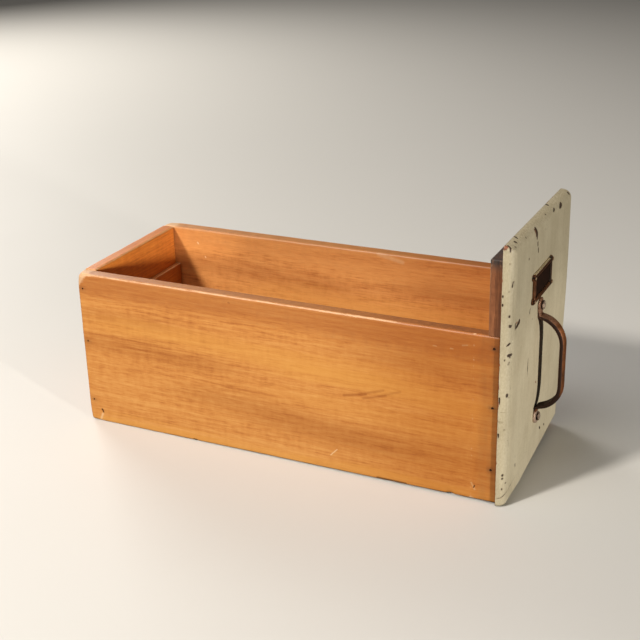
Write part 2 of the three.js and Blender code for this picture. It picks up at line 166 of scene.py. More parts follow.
def points_of(piece: Piece) -> np.ndarray:
    """Reads where a piece's vertices are.

    Args:
        piece: the mesh object.

    Returns:
        The places in millimetres, one row each.
    """
    flat = np.zeros(len(piece.data.vertices) * 3, np.float32)
    piece.data.vertices.foreach_get("co", flat)
    return flat.reshape(-1, 3).astype(float) / MM


def move_points(piece: Piece, points: np.ndarray) -> None:
    """Moves the piece's vertices to places in millimetres."""
    piece.data.vertices.foreach_set("co", (points * MM).astype(np.float32).ravel())


def store(piece: Piece, name: str, values: np.ndarray) -> None:
    """Keeps one number, or one direction, for each vertex, for a material or a node tree.

    Args:
        piece: the mesh object.
        name: the attribute's name.
        values: one number or one row of three for each vertex.
    """
    rows = np.asarray(values, np.float32)
    kind, field = ("FLOAT", "value") if rows.ndim == 1 else ("FLOAT_VECTOR", "vector")
    made = piece.data.attributes.new(name, kind, "POINT")
    made.data.foreach_set(field, rows.ravel())


def bake_modifiers(piece: Piece) -> None:
    """Turns a piece's modifiers into its mesh.

    Args:
        piece: the mesh object.
    """
    seen = piece.evaluated_get(bpy.context.evaluated_depsgraph_get())
    mesh = bpy.data.meshes.new_from_object(seen)
    piece.modifiers.clear()
    piece.data = mesh


class Change(Enum):
    """What a closed tool does to a piece."""

    JOIN = "UNION"
    CUT = "DIFFERENCE"


def combine(piece: Piece, tool: Piece, change: Change) -> None:
    """Joins a closed tool to the piece, or cuts it out, and removes the tool.

    Args:
        piece: the closed mesh that changes.
        tool: the closed mesh that shapes it.
        change: what the tool does.
    """
    modifier = piece.modifiers.new("shape", "BOOLEAN")
    modifier.operation = change.value
    modifier.solver = "EXACT"
    modifier.object = tool
    bake_modifiers(piece)
    bpy.data.objects.remove(tool)


def weld(piece: Piece, gap: float) -> None:
    """Merges vertices closer than the gap and turns the faces outwards.

    Args:
        piece: the mesh object.
        gap: distance in millimetres.
    """
    work = bmesh.new()
    work.from_mesh(piece.data)
    bmesh.ops.remove_doubles(work, verts=work.verts, dist=gap * MM)
    bmesh.ops.recalc_face_normals(work, faces=work.faces)
    if work.calc_volume(signed=True) < 0:
        bmesh.ops.reverse_faces(work, faces=work.faces)
    work.to_mesh(piece.data)
    work.free()


def shade(piece: Piece, angle: float) -> None:
    """Shades the piece smooth, with crisp edges above the angle in degrees."""
    piece.data.shade_smooth()
    piece.data.set_sharp_from_angle(angle=math.radians(angle))


def box_skin(xs: np.ndarray, ys: np.ndarray, zs: np.ndarray) -> tuple[np.ndarray, np.ndarray]:
    """A closed box whose six faces are ruled by the given lines.

    Args:
        xs: places of the lines across X, rising.
        ys: places of the lines across Y, rising.
        zs: places of the lines across Z, rising.

    Returns:
        The vertices, and the corner numbers of the four-sided faces.
    """
    counts = np.array([len(xs), len(ys), len(zs)])
    square = ((0, 0), (1, 0), (1, 1), (0, 1))
    cells = []
    for axis in range(3):
        first, second = (axis + 1) % 3, (axis + 2) % 3
        i, j = np.meshgrid(np.arange(counts[first] - 1), np.arange(counts[second] - 1),
                           indexing="ij")
        for end, order in ((0, (0, 3, 2, 1)), (counts[axis] - 1, (0, 1, 2, 3))):
            corners = np.zeros((i.size, 4, 3), int)
            corners[:, :, axis] = end
            for number, (di, dj) in enumerate(square):
                corners[:, number, first] = i.ravel() + di
                corners[:, number, second] = j.ravel() + dj
            cells.append(corners[:, list(order)])
    strides = np.array([1, counts[0], counts[0] * counts[1]])
    keys, faces = np.unique(np.concatenate(cells) @ strides, return_inverse=True)
    points = np.stack([xs[keys % counts[0]], ys[keys // counts[0] % counts[1]],
                       zs[keys // strides[2]]], axis=1)
    return points, faces.reshape(-1, 4)


def ruled(low: float, high: float, spacing: float, grade: tuple[float, ...]) -> np.ndarray:
    """Lines from low to high, closer together by both ends.

    Args:
        low: the first line.
        high: the last line.
        spacing: about how far apart the middle lines are.
        grade: distances of the lines by each end.

    Returns:
        The lines, rising.
    """
    near_end = np.array([step for step in grade if step < (high - low) * GRADED_SHARE])
    first, last = low + near_end[-1], high - near_end[-1]
    middle = np.linspace(first, last, max(int(round((last - first) / spacing)), 1) + 1)
    return np.concatenate([low + near_end[:-1], middle, (high - near_end[:-1])[::-1]])


def plain_box(name: str, low: Place, high: Place) -> Piece:
    """A closed box between two corners, for shaping other pieces."""
    lines = [np.array([a, b], float) for a, b in zip(low, high)]
    return mesh_object(name, *box_skin(*lines))


def turned(name: str, outline: list[Span], steps: int) -> Piece:
    """A closed round form about the Z axis.

    Args:
        name: the object's name.
        outline: (radius, height) pairs from the top middle to the bottom middle.
        steps: how many sides the round has.

    Returns:
        The new object.
    """
    angles = np.linspace(0, 2 * math.pi, steps, endpoint=False)
    rings = [np.stack([radius * np.cos(angles), radius * np.sin(angles),
                       np.full(steps, height)], axis=1) for radius, height in outline[1:-1]]
    points = np.concatenate([[[0, 0, outline[0][1]]], *rings, [[0, 0, outline[-1][1]]]])
    last = len(points) - 1
    faces = []
    for step in range(steps):
        turn = (step + 1) % steps
        faces.append((0, 1 + step, 1 + turn))
        for ring in range(len(rings) - 1):
            upper, lower = 1 + ring * steps, 1 + (ring + 1) * steps
            faces.append((upper + step, lower + step, lower + turn, upper + turn))
        bottom = 1 + (len(rings) - 1) * steps
        faces.append((bottom + step, last, bottom + turn))
    return mesh_object(name, points, faces)


# Geometry Nodes


class TreeMaker:
    """A node tree in the making, with what shaders and Geometry Nodes share."""

    tree: Tree

    def node(self, kind: str, inputs: dict | None = None, **settings: object) -> bpy.types.Node:
        """Adds a node.

        Args:
            kind: the node's type.
            inputs: a value or an output socket for each input, by name or number.
            settings: the node's own settings.

        Returns:
            The new node.
        """
        made = self.tree.nodes.new(kind)
        for key, value in settings.items():
            setattr(made, key, value)
        for key, value in (inputs or {}).items():
            if isinstance(value, Socket):
                self.tree.links.new(value, made.inputs[key])
            else:
                made.inputs[key].default_value = value
        return made

    def math(self, operation: str, *values: object) -> Socket:
        """The output of a sum on numbers."""
        return self.node("ShaderNodeMath", dict(enumerate(values)), operation=operation).outputs[0]

    def times(self, first: object, second: object) -> Socket:
        """One number times another."""
        return self.math("MULTIPLY", first, second)

    def vectors(self, operation: str, first: object, second: object) -> Socket:
        """The output of a sum on two vectors; a dot product or a distance is a number."""
        made = self.node("ShaderNodeVectorMath", {0: first, 1: second}, operation=operation)
        return made.outputs["Value" if operation in ("DOT_PRODUCT", "DISTANCE") else "Vector"]

    def scaled(self, vector: object, share: object) -> Socket:
        """A vector times a number."""
        return self.node("ShaderNodeVectorMath", {0: vector, "Scale": share},
                         operation="SCALE").outputs[0]

    def vector(self, *values: object) -> Socket:
        """A vector of three numbers."""
        return self.node("ShaderNodeCombineXYZ", dict(enumerate(values))).outputs[0]

    def parts(self, vector: Socket) -> list[Socket]:
        """The three numbers of a vector."""
        return list(self.node("ShaderNodeSeparateXYZ", {0: vector}).outputs)


class NodeGroup(TreeMaker):
    """A Geometry Nodes tree with named inputs."""

    def __init__(self, name: str, inputs: dict[str, str]) -> None:
        """Starts the tree.

        Args:
            name: the tree's name.
            inputs: socket type of each named input, after the geometry.
        """
        self.tree = bpy.data.node_groups.new(name, "GeometryNodeTree")
        face = self.tree.interface
        face.new_socket("Geometry", in_out="INPUT", socket_type="NodeSocketGeometry")
        for label, kind in inputs.items():
            face.new_socket(label, in_out="INPUT", socket_type=kind)
        face.new_socket("Geometry", in_out="OUTPUT", socket_type="NodeSocketGeometry")
        self.given = self.tree.nodes.new("NodeGroupInput").outputs

    def kept(self, name: str, kind: str = "FLOAT") -> Socket:
        """The output that reads a stored attribute."""
        read = self.node("GeometryNodeInputNamedAttribute", {"Name": name}, data_type=kind)
        return read.outputs["Attribute"]

    def stored(self, geometry: Socket, name: str, value: Socket, kind: str = "FLOAT") -> Socket:
        """The geometry with a value kept on it under a name."""
        return self.node("GeometryNodeStoreNamedAttribute", {
            "Geometry": geometry, "Name": name, "Value": value}, data_type=kind).outputs[0]

    def along(self, way: Socket, length: Socket, start: Socket) -> Socket:
        """The place some length along a way from a start."""
        return self.vectors("ADD", start, self.scaled(way, length))

    def finish(self, geometry: Socket) -> Tree:
        """Ends the tree in Realize Instances and Set Material.

        Args:
            geometry: the output that holds the finished shape.

        Returns:
            The tree.
        """
        real = self.node("GeometryNodeRealizeInstances", {"Geometry": geometry})
        dressed = self.node("GeometryNodeSetMaterial",
                            {"Geometry": real.outputs[0], "Material": self.given["Material"]})
        self.node("NodeGroupOutput", {0: dressed.outputs[0]})
        return self.tree


def run_tree(piece: Piece, tree: Tree, values: dict) -> None:
    """Runs a tree on a piece and keeps the result as a plain mesh.

    Args:
        piece: the object that holds the tree's geometry.
        tree: the Geometry Nodes tree.
        values: the value of each named input.
    """
    modifier = piece.modifiers.new("form", "NODES")
    modifier.node_group = tree
    for item in tree.interface.items_tree:
        if item.item_type == "SOCKET" and item.in_out == "INPUT" and item.name in values:
            modifier[item.identifier] = values[item.name]
    bake_modifiers(piece)


def fastener_tree() -> Tree:
    """Sets a fastener at each point, facing as the point says, each a little askew.

    Returns:
        The tree.
    """
    group = NodeGroup("Set Fasteners", {
        "Fastener": "NodeSocketObject", "Lean": "NodeSocketFloat", "Roll": "NodeSocketFloat",
        "Size Spread": "NodeSocketFloat", "Seed": "NodeSocketInt",
        "Material": "NodeSocketMaterial"})
    given = group.given
    shape = group.node("GeometryNodeObjectInfo", {"Object": given["Fastener"]},
                       transform_space="ORIGINAL")
    facing = group.node("FunctionNodeAlignRotationToVector",
                        {"Vector": group.kept("facing", "FLOAT_VECTOR")}, axis="Z")
    lean = group.vector(given["Lean"], given["Lean"], given["Roll"])
    askew = group.node("FunctionNodeRandomValue", {
        0: group.scaled(lean, -1.0), 1: lean, "Seed": given["Seed"]}, data_type="FLOAT_VECTOR")
    turn = group.node("FunctionNodeRotateRotation", {
        "Rotation": facing.outputs[0], "Rotate By": askew.outputs[0]}, rotation_space="LOCAL")
    smallest = group.math("SUBTRACT", 1.0, given["Size Spread"])
    size = group.node("FunctionNodeRandomValue", {
        2: smallest, 3: 1.0, "Seed": given["Seed"]}, data_type="FLOAT")
    placed = group.node("GeometryNodeInstanceOnPoints", {
        "Points": given["Geometry"], "Instance": shape.outputs["Geometry"],
        "Rotation": turn.outputs[0],
        "Scale": group.times(size.outputs[1], group.kept("size"))})
    return group.finish(placed.outputs[0])


def bar_tree() -> Tree:
    """Sweeps a crowned bar along a line that says its width, height and directions.

    Returns:
        The tree.
    """
    group = NodeGroup("Sweep Crowned Bar", {
        "Width": "NodeSocketFloat", "Edge Height": "NodeSocketFloat",
        "Crown Height": "NodeSocketFloat", "Section Points": "NodeSocketInt",
        "Material": "NodeSocketMaterial"})
    given = group.given
    rail = group.node("GeometryNodeMeshToCurve", {"Mesh": given["Geometry"]})
    ring = group.node("GeometryNodeCurvePrimitiveCircle", {
        "Resolution": given["Section Points"], "Radius": 1.0})
    place = group.node("GeometryNodeInputPosition").outputs[0]
    across, up, _ = group.parts(place)
    section = ring.outputs["Curve"]
    for name, value in (("across", across), ("over", group.math("GREATER_THAN", up, -1e-4)),
                        ("crown", group.math("MAXIMUM", up, 0.0))):
        section = group.stored(section, name, value)
    skin = group.node("GeometryNodeCurveToMesh", {
        "Curve": group.stored(rail.outputs[0], "rail", place, "FLOAT_VECTOR"),
        "Profile Curve": section, "Fill Caps": True})
    half = group.times(given["Width"], 0.5)
    reach = group.times(group.kept("across"), group.times(half, group.kept("width_share")))
    edge = group.times(group.kept("over"), given["Edge Height"])
    crown = group.times(group.kept("crown"), given["Crown Height"])
    height = group.times(group.math("ADD", edge, crown), group.kept("height_share"))
    sideways = group.along(group.kept("sideways", "FLOAT_VECTOR"), reach,
                           group.kept("rail", "FLOAT_VECTOR"))
    spot = group.along(group.kept("outward", "FLOAT_VECTOR"), height, sideways)
    shaped = group.node("GeometryNodeSetPosition", {
        "Geometry": skin.outputs[0], "Position": spot})
    return group.finish(shaped.outputs[0])


# Materials


class Sketch(TreeMaker):
    """A material's node tree. Patterns are in millimetres."""

    def __init__(self, name: str) -> None:
        """Starts an empty material.

        Args:
            name: the material's name.
        """
        self.material = bpy.data.materials.new(name)
        self.material.use_nodes = True
        self.tree = self.material.node_tree
        self.tree.nodes.clear()

    def place(self) -> Socket:
        """Object coordinates in millimetres."""
        return self.scaled(self.node("ShaderNodeTexCoord").outputs["Object"], 1 / MM)

    def kept(self, name: str) -> Socket:
        """A number stored on the vertices."""
        return self.node("ShaderNodeAttribute", attribute_name=name).outputs["Fac"]

    def total(self, *terms: tuple[float, object]) -> Socket:
        """Adds up weighted numbers.

        Args:
            terms: (weight, number) pairs.

        Returns:
            The sum.
        """
        result: object = 0.0
        for weight, value in terms:
            result = self.math("MULTIPLY_ADD", value, weight, result)
        return result

    def ease(self, value: object, start: float, end: float,
             low: float = 0.0, high: float = 1.0) -> Socket:
        """Eases from one number to another.

        Args:
            value: the number that decides.
            start: where the result is low.
            end: where the result is high.
            low: the result at the start.
            high: the result at the end.

        Returns:
            The eased number.
        """
        return self.node("ShaderNodeMapRange", {
            "Value": value, "From Min": start, "From Max": end, "To Min": low, "To Max": high},
            interpolation_type="SMOOTHSTEP").outputs[0]

    def noise(self, vector: Socket, wavelengths: Place, detail: float = 2.0,
              roughness: float = 0.5) -> Socket:
        """Makes noise about 0, from -1 to 1.

        Args:
            vector: the place.
            wavelengths: size of a wave along each axis.
            detail: how many finer layers are added.
            roughness: how strong the finer layers are.

        Returns:
            The noise.
        """
        made = self.node("ShaderNodeTexNoise", {
            "Vector": self.vectors("DIVIDE", vector, wavelengths), "Scale": 1.0,
            "Detail": detail, "Roughness": roughness})
        return self.math("MULTIPLY_ADD", made.outputs[0], 2.0, -1.0)

    def even_noise(self, vector: Socket, wavelength: float, detail: float = 2.0,
                   roughness: float = 0.5) -> Socket:
        """Noise with the same wavelength on every axis."""
        return self.noise(vector, (wavelength,) * 3, detail, roughness)

    def stroke(self, spot: Socket, start: Span, end: Span, radius: float,
               softness: float) -> Socket:
        """How much a place lies on a stroke, from 0 outside to 1 inside.

        Args:
            spot: the place, as a vector whose third number is 0.
            start: where the stroke starts.
            end: where it ends.
            radius: half the stroke's width.
            softness: over what distance it fades.

        Returns:
            The share.
        """
        run = (end[0] - start[0], end[1] - start[1], 0.0)
        length = max(run[0] ** 2 + run[1] ** 2, 1e-6)
        away = self.vectors("SUBTRACT", spot, (*start, 0.0))
        reach = self.vectors("DOT_PRODUCT", away, run)
        share = self.node("ShaderNodeMath", {0: reach, 1: 1 / length},
                          operation="MULTIPLY", use_clamp=True).outputs[0]
        gap = self.vectors("DISTANCE", away, self.scaled(run, share))
        return self.ease(gap, radius + softness, radius)

    def mix(self, share: object, first: object, second: object,
            blend: str = "MIX") -> Socket:
        """Mixes two colours by a share."""
        return self.node("ShaderNodeMix", {0: share, 6: first, 7: second},
                         data_type="RGBA", blend_type=blend).outputs[2]

    def tint(self, colour: object, other: object, share: object, strength: float) -> Socket:
        """Mixes another colour into one, by a share times a strength."""
        return self.mix(self.times(share, strength), colour, other)

    def ramp(self, value: object, stops: list[tuple[float, Colour]]) -> Socket:
        """Runs a number through a row of colours.

        Args:
            value: the number.
            stops: where each colour stands.

        Returns:
            The colour.
        """
        made = self.node("ShaderNodeValToRGB", {0: value})
        marks = made.color_ramp.elements
        for number, (spot, colour) in enumerate(stops):
            mark = marks[number] if number < 2 else marks.new(spot)
            mark.position, mark.color = spot, colour
        return made.outputs[0]

    def bump(self, height: object, strength: float = 1.0) -> Socket:
        """A bent normal from a height in millimetres."""
        return self.node("ShaderNodeBump", {
            "Height": height, "Strength": strength, "Distance": MM}).outputs[0]

    def surface(self, colour: object, roughness: object, normal: object,
                **fixed: float) -> Material:
        """Ends the material in one principled shader.

        Args:
            colour: base colour.
            roughness: roughness.
            normal: bent normal.
            fixed: other sockets that are the same all over, with _ for a space.

        Returns:
            The material.
        """
        shader = self.node("ShaderNodeBsdfPrincipled", {
            "Base Color": colour, "Roughness": roughness, "Normal": normal,
            **{key.replace("_", " "): value for key, value in fixed.items()}})
        self.node("ShaderNodeOutputMaterial", {0: shader.outputs[0]})
        return self.material


class Grain(Enum):
    """Which way a board's fibres run: its axes through, along and across the board."""

    ALONG_DRAWER = (0, 1, 2)
    ACROSS_DRAWER = (1, 0, 2)
    UPRIGHT = (1, 2, 0)
    FLAT = (2, 0, 1)


@dataclass(frozen=True)
class Mark:
    """A scratch or a patch of another tone: a stroke along and across the board."""

    start: Span
    end: Span
    radius: float
    softness: float
    colour: Colour
    strength: float


@dataclass(frozen=True)
class WoodFinish:
    """Varnished, handled wood with streaks, fibres, pores, rubbed arrises, dirt and painted shade.
    """

    name: str
    grain: Grain
    light: Colour
    middle: Colour
    dark: Colour
    band: Span = (300.0, 340.0)
    band_colour: Colour = srgb(164, 93, 44)
    band_strength: float = 0.55
    bare: Colour = srgb(218, 174, 130)
    dirt: Colour = srgb(74, 48, 32)
    ageing: Colour = srgb(226, 208, 184)
    pith: Span = (140.0, -60.0)
    ring_gap: float = 3.4
    roughness: float = 0.46
    seed: float = 0.0
    tones: tuple[Mark, ...] = ()
    marks: tuple[Mark, ...] = ()
    marked_face: Span = (0.0, 1.0)
    tone_stretch: float = 6.0

    def marked(self, art: Sketch, colour: object, marks: tuple[Mark, ...], flat: Socket,
               stretch: float, outside: Socket) -> Socket:
        """Lays marks over the wood.

        Args:
            art: the material in the making.
            colour: the wood's colour so far.
            marks: the marks.
            flat: the place along and across the board.
            stretch: how many times shorter the place runs along the board.
            outside: share of the place that is on the marked face.

        Returns:
            The colour with the marks.
        """
        for mark in marks:
            ends = [(end[0] / stretch, end[1]) for end in (mark.start, mark.end)]
            there = art.times(art.stroke(flat, *ends, mark.radius, mark.softness), outside)
            colour = art.tint(colour, mark.colour, there, mark.strength)
        return colour

    def build(self) -> Material:
        """Makes the material.

        Returns:
            The material.
        """
        art = Sketch(self.name)
        spot = art.parts(art.place())
        through, along, across = (spot[axis] for axis in self.grain.value)
        shifted = art.math("ADD", along, self.seed * 100)
        local = art.vector(through, shifted, across)
        wander = art.noise(local, (90.0, 260.0, 70.0), detail=1.0)
        flutter = art.noise(local, (9.0, 70.0, 9.0), detail=2.0)
        deep = art.total((1.0, through), (9.0, wander), (-self.pith[0], 1.0))
        wide = art.total((1.0, across), (7.0, wander), (-self.pith[1], 1.0))
        reach = art.math("SQRT", art.total((1.0, art.times(deep, deep)),
                                           (1.0, art.times(wide, wide))))
        ring = art.math("SINE", art.total((2 * math.pi / self.ring_gap, reach), (1.6, flutter)))
        broad = art.noise(local, (40.0, 260.0, 24.0), detail=2.0)
        streak = art.noise(local, (4.0, 120.0, 3.6), detail=3.0, roughness=0.6)
        strand = art.noise(local, (1.8, 36.0, 1.7), detail=3.0, roughness=0.75)
        fibre = art.noise(local, (0.9, 12.0, 1.0), detail=2.0, roughness=0.6)
        mottle = art.noise(local, (9.0, 6.0, 13.0), detail=3.0, roughness=0.6)
        tone = art.total((0.55, 1.0), (0.25, broad), (0.18, streak), (0.29, strand),
                         (0.29, fibre), (0.04, ring), (0.20, mottle))
        colour = art.ramp(tone, [(0.18, self.dark), (0.82, self.light), (0.5, self.middle)])
        outside = art.ease(through, *self.marked_face)
        drifting = art.total((1.0, across), (9.0, streak), (6.0, broad), (3.0, strand))
        wide_flat = art.vector(art.math("DIVIDE", along, self.tone_stretch), drifting, 0.0)
        near_flat = art.vector(along, art.total((1.0, across), (0.5, strand)), 0.0)
        colour = self.marked(art, colour, self.tones, wide_flat, self.tone_stretch, outside)
        colour = self.marked(art, colour, self.marks, near_flat, 1.0, outside)
        rise = art.total((1.0, across), (9.0, broad), (5.0, streak), (4.0, mottle))
        banded = art.times(art.ease(rise, *self.band), art.total(
            (self.band_strength, 1.0), (0.30, mottle), (0.18, streak)))
        colour = art.mix(banded, colour, self.band_colour)
        pores = art.ease(art.noise(local, (0.7, 7.0, 0.7), detail=1.0), 0.30, 0.60)
        colour = art.tint(colour, self.dark, pores, 0.30)
        colour = art.mix(art.kept("age"), colour, self.ageing, blend="MULTIPLY")
        grain_chips = art.noise(local, (2.2, 7.0, 2.2), detail=3.0, roughness=0.65)
        # This mask, laid in the dirt colour, holds dirt and also the painted shade where a side
        # meets the lip.
        grimy_and_shaded = art.times(art.kept("grime"),
                          art.total((0.75, 1.0), (0.45, mottle), (0.5, fibre)))
        colour = art.mix(grimy_and_shaded, colour, self.dirt)
        rubbed = art.ease(art.total((1.0, art.kept("rub")), (0.30, grain_chips),
                                    (0.12, streak)), 0.38, 0.62)
        colour = art.tint(colour, self.bare, rubbed, 0.85)
        rough = art.total((self.roughness, 1.0), (0.06, streak), (0.16, rubbed),
                          (0.12, pores), (0.10, grimy_and_shaded))
        height = art.total((0.012, fibre), (-0.03, pores), (0.006, ring), (0.012, streak),
                           (-0.03, rubbed))
        return art.surface(colour, rough, art.bump(height), Coat_Weight=0.06,
                           Coat_Roughness=0.35)


@dataclass(frozen=True)
class PaintFinish:
    """Old brushed paint over wood, chipped and cracked, with the wood bare in places."""

    name: str
    paint: Colour
    shade: Colour
    wood: Colour
    gouge: Colour
    dirt: Colour
    ageing: Colour = srgb(222, 222, 221)

    def build(self) -> Material:
        """Makes the material.

        Returns:
            The material.
        """
        art = Sketch(self.name)
        spot = art.place()
        brush = art.noise(spot, (1.1, 4.0, 70.0), detail=3.0, roughness=0.6)
        cloud = art.noise(spot, (26.0, 26.0, 44.0), detail=4.0, roughness=0.6)
        fine = art.noise(spot, (1.4, 1.4, 2.2), detail=3.0, roughness=0.65)
        ripple = art.noise(spot, (3.2, 3.2, 34.0), detail=2.0)
        tone = art.total((0.50, 1.0), (0.44, cloud), (0.22, brush), (0.12, ripple),
                         (0.30, fine))
        colour = art.ramp(tone, [(0.2, self.paint), (0.8, self.shade)])
        specks = art.ease(art.noise(spot, (1.8, 1.8, 2.6), detail=2.0), 0.44, 0.60)
        colour = art.tint(colour, self.dirt, specks, 0.55)
        hairs = art.ease(art.noise(spot, (0.8, 0.8, 14.0), detail=1.0), 0.52, 0.62)
        colour = art.tint(colour, self.dirt, hairs, 0.30)
        colour = art.mix(art.kept("age"), colour, self.ageing, blend="MULTIPLY")
        stain = art.times(art.kept("grime"), art.total((0.6, 1.0), (1.6, fine)))
        colour = art.mix(stain, colour, self.dirt)
        gap = art.total((1.0, art.kept("chip")), (0.30, fine), (0.12, brush))
        raw = art.total((1.0, art.kept("bare")), (0.55, fine))
        rim = art.ease(art.math("MINIMUM", gap, raw), 0.70, 0.10)
        colour = art.tint(colour, self.dirt, rim, 0.45)
        bare = art.ease(raw, 0.12, -0.10)
        worn = art.total((0.6, fine), (0.8, brush), (0.6, cloud))
        colour = art.mix(bare, colour, art.mix(
            art.ease(worn, -0.55, 0.25), self.gouge, self.wood))
        dark = art.ease(gap, 0.22, -0.12)
        colour = art.mix(dark, colour, art.mix(
            art.ease(fine, 0.1, 0.9, 0.0, 0.5), self.gouge, self.wood))
        lost = art.math("MAXIMUM", bare, dark)
        rough = art.total((0.46, 1.0), (0.07, cloud), (0.05, brush), (0.30, lost),
                          (0.15, stain))
        height = art.total((0.022, brush), (0.020, ripple), (0.012, fine), (-0.16, lost),
                           (-0.03, hairs))
        return art.surface(colour, rough, art.bump(height), Coat_Weight=0.06,
                           Coat_Roughness=0.4)


@dataclass(frozen=True)
class MetalFinish:
    """Handled metal with a brown patina rubbed through on its proud places, with painted highlight
    and shade.
    """

    name: str
    patina: Colour
    deep: Colour
    worn: Colour
    grain: float = 2.4
    roughness: float = 0.42
    metallic: float = 0.75

    def build(self) -> Material:
        """Makes the material.

        Returns:
            The material.
        """
        art = Sketch(self.name)
        spot = art.place()
        size = self.grain
        cloud = art.even_noise(spot, size * 4, detail=3.0, roughness=0.6)
        fine = art.even_noise(spot, size * 0.3, detail=3.0, roughness=0.7)
        pits = art.ease(art.even_noise(spot, size * 0.22, detail=1.0), 0.40, 0.60)
        colour = art.ramp(art.total((0.5, 1.0), (0.5, cloud), (0.35, fine)),
                          [(0.15, self.deep), (0.85, self.patina)])
        # Painted highlight rides on the rubbed mask in the worn colour, and painted shade on the
        # mask after it in the deep colour.
        rubbed = art.ease(art.total((1.0, art.kept("rub")), (0.25, cloud), (0.25, fine)),
                          0.30, 0.80)
        colour = art.mix(rubbed, colour, self.worn)
        dull_and_shaded = art.ease(art.total((1.0, art.kept("grime")), (0.20, cloud), (0.20, fine)),
                        0.25, 0.75)
        colour = art.mix(dull_and_shaded, colour, self.deep)
        colour = art.tint(colour, self.deep, pits, 0.6)
        rough = art.total((self.roughness, 1.0), (0.10, cloud), (0.10, fine), (0.2, pits),
                          (-0.10, rubbed), (0.25, dull_and_shaded))
        height = art.total((0.012, fine), (0.02, cloud), (-0.03, pits))
        return art.surface(colour, rough, art.bump(height), Metallic=self.metallic)


@dataclass(frozen=True)
class CardFinish:
    """Dark aged card with fibres and stains."""

    name: str
    card: Colour
    stain: Colour

    def build(self) -> Material:
        """Makes the material.

        Returns:
            The material.
        """
        art = Sketch(self.name)
        spot = art.place()
        cloud = art.noise(spot, (7.0, 7.0, 5.0), detail=4.0, roughness=0.6)
        fibre = art.noise(spot, (1.6, 0.3, 0.25), detail=2.0)
        colour = art.ramp(art.total((0.5, 1.0), (0.45, cloud), (0.2, fibre)),
                          [(0.2, self.stain), (0.85, self.card)])
        height = art.total((0.01, fibre), (0.01, cloud))
        return art.surface(colour, art.total((0.85, 1.0), (0.08, cloud)), art.bump(height),
                           Specular_IOR_Level=0.1)


@dataclass(frozen=True)
class FloorFinish:
    """Plain pale studio floor."""

    name: str
    colour: Colour
    shade: Colour = srgb(170, 168, 164)

    def build(self) -> Material:
        """Makes the material.

        Returns:
            The material.
        """
        art = Sketch(self.name)
        spot = art.place()
        cloud = art.even_noise(spot, 400.0, detail=3.0)
        fine = art.even_noise(spot, 3.0)
        colour = art.mix(art.ease(cloud, -1.0, 1.0, 0.0, 0.06), self.colour, self.shade)
        return art.surface(colour, art.total((0.62, 1.0), (0.04, cloud)),
                           art.bump(art.total((0.01, fine))))


# Handing a finished piece over


def hand_over(piece: Piece, nodes: list[str],
              material: Material | None = None) -> None:
    """Gives a finished piece its material and body, and hides and logs the CAD nodes that it
    stands for.

    Args:
        piece: the finished mesh object.
        nodes: names of the CAD nodes that it replaces.
        material: its material, where its mesh has none yet.
    """
    if material is not None:
        piece.data.materials.clear()
        piece.data.materials.append(material)
    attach(piece, BODY)
    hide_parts(*nodes)
    log.info("%s: %d faces for %s", piece.name, len(piece.data.polygons), ", ".join(nodes))


# Boards


@dataclass(frozen=True)
class Knock:
    """A dent or a worn corner: where it is, how far it reaches and how deep it goes."""

    place: Place
    reach: float
    depth: float


def knocked(values: np.ndarray, points: np.ndarray, knocks: tuple[Knock, ...]) -> np.ndarray:
    """Adds the depth of dents or worn corners to values.

    Args:
        values: one value for each place.
        points: the places.
        knocks: the dents or worn corners.

    Returns:
        The values with the depths added.
    """
    for knock in knocks:
        away = np.linalg.norm(points - np.array(knock.place), axis=1)
        values = values + knock.depth * near(away, knock.reach)
    return values


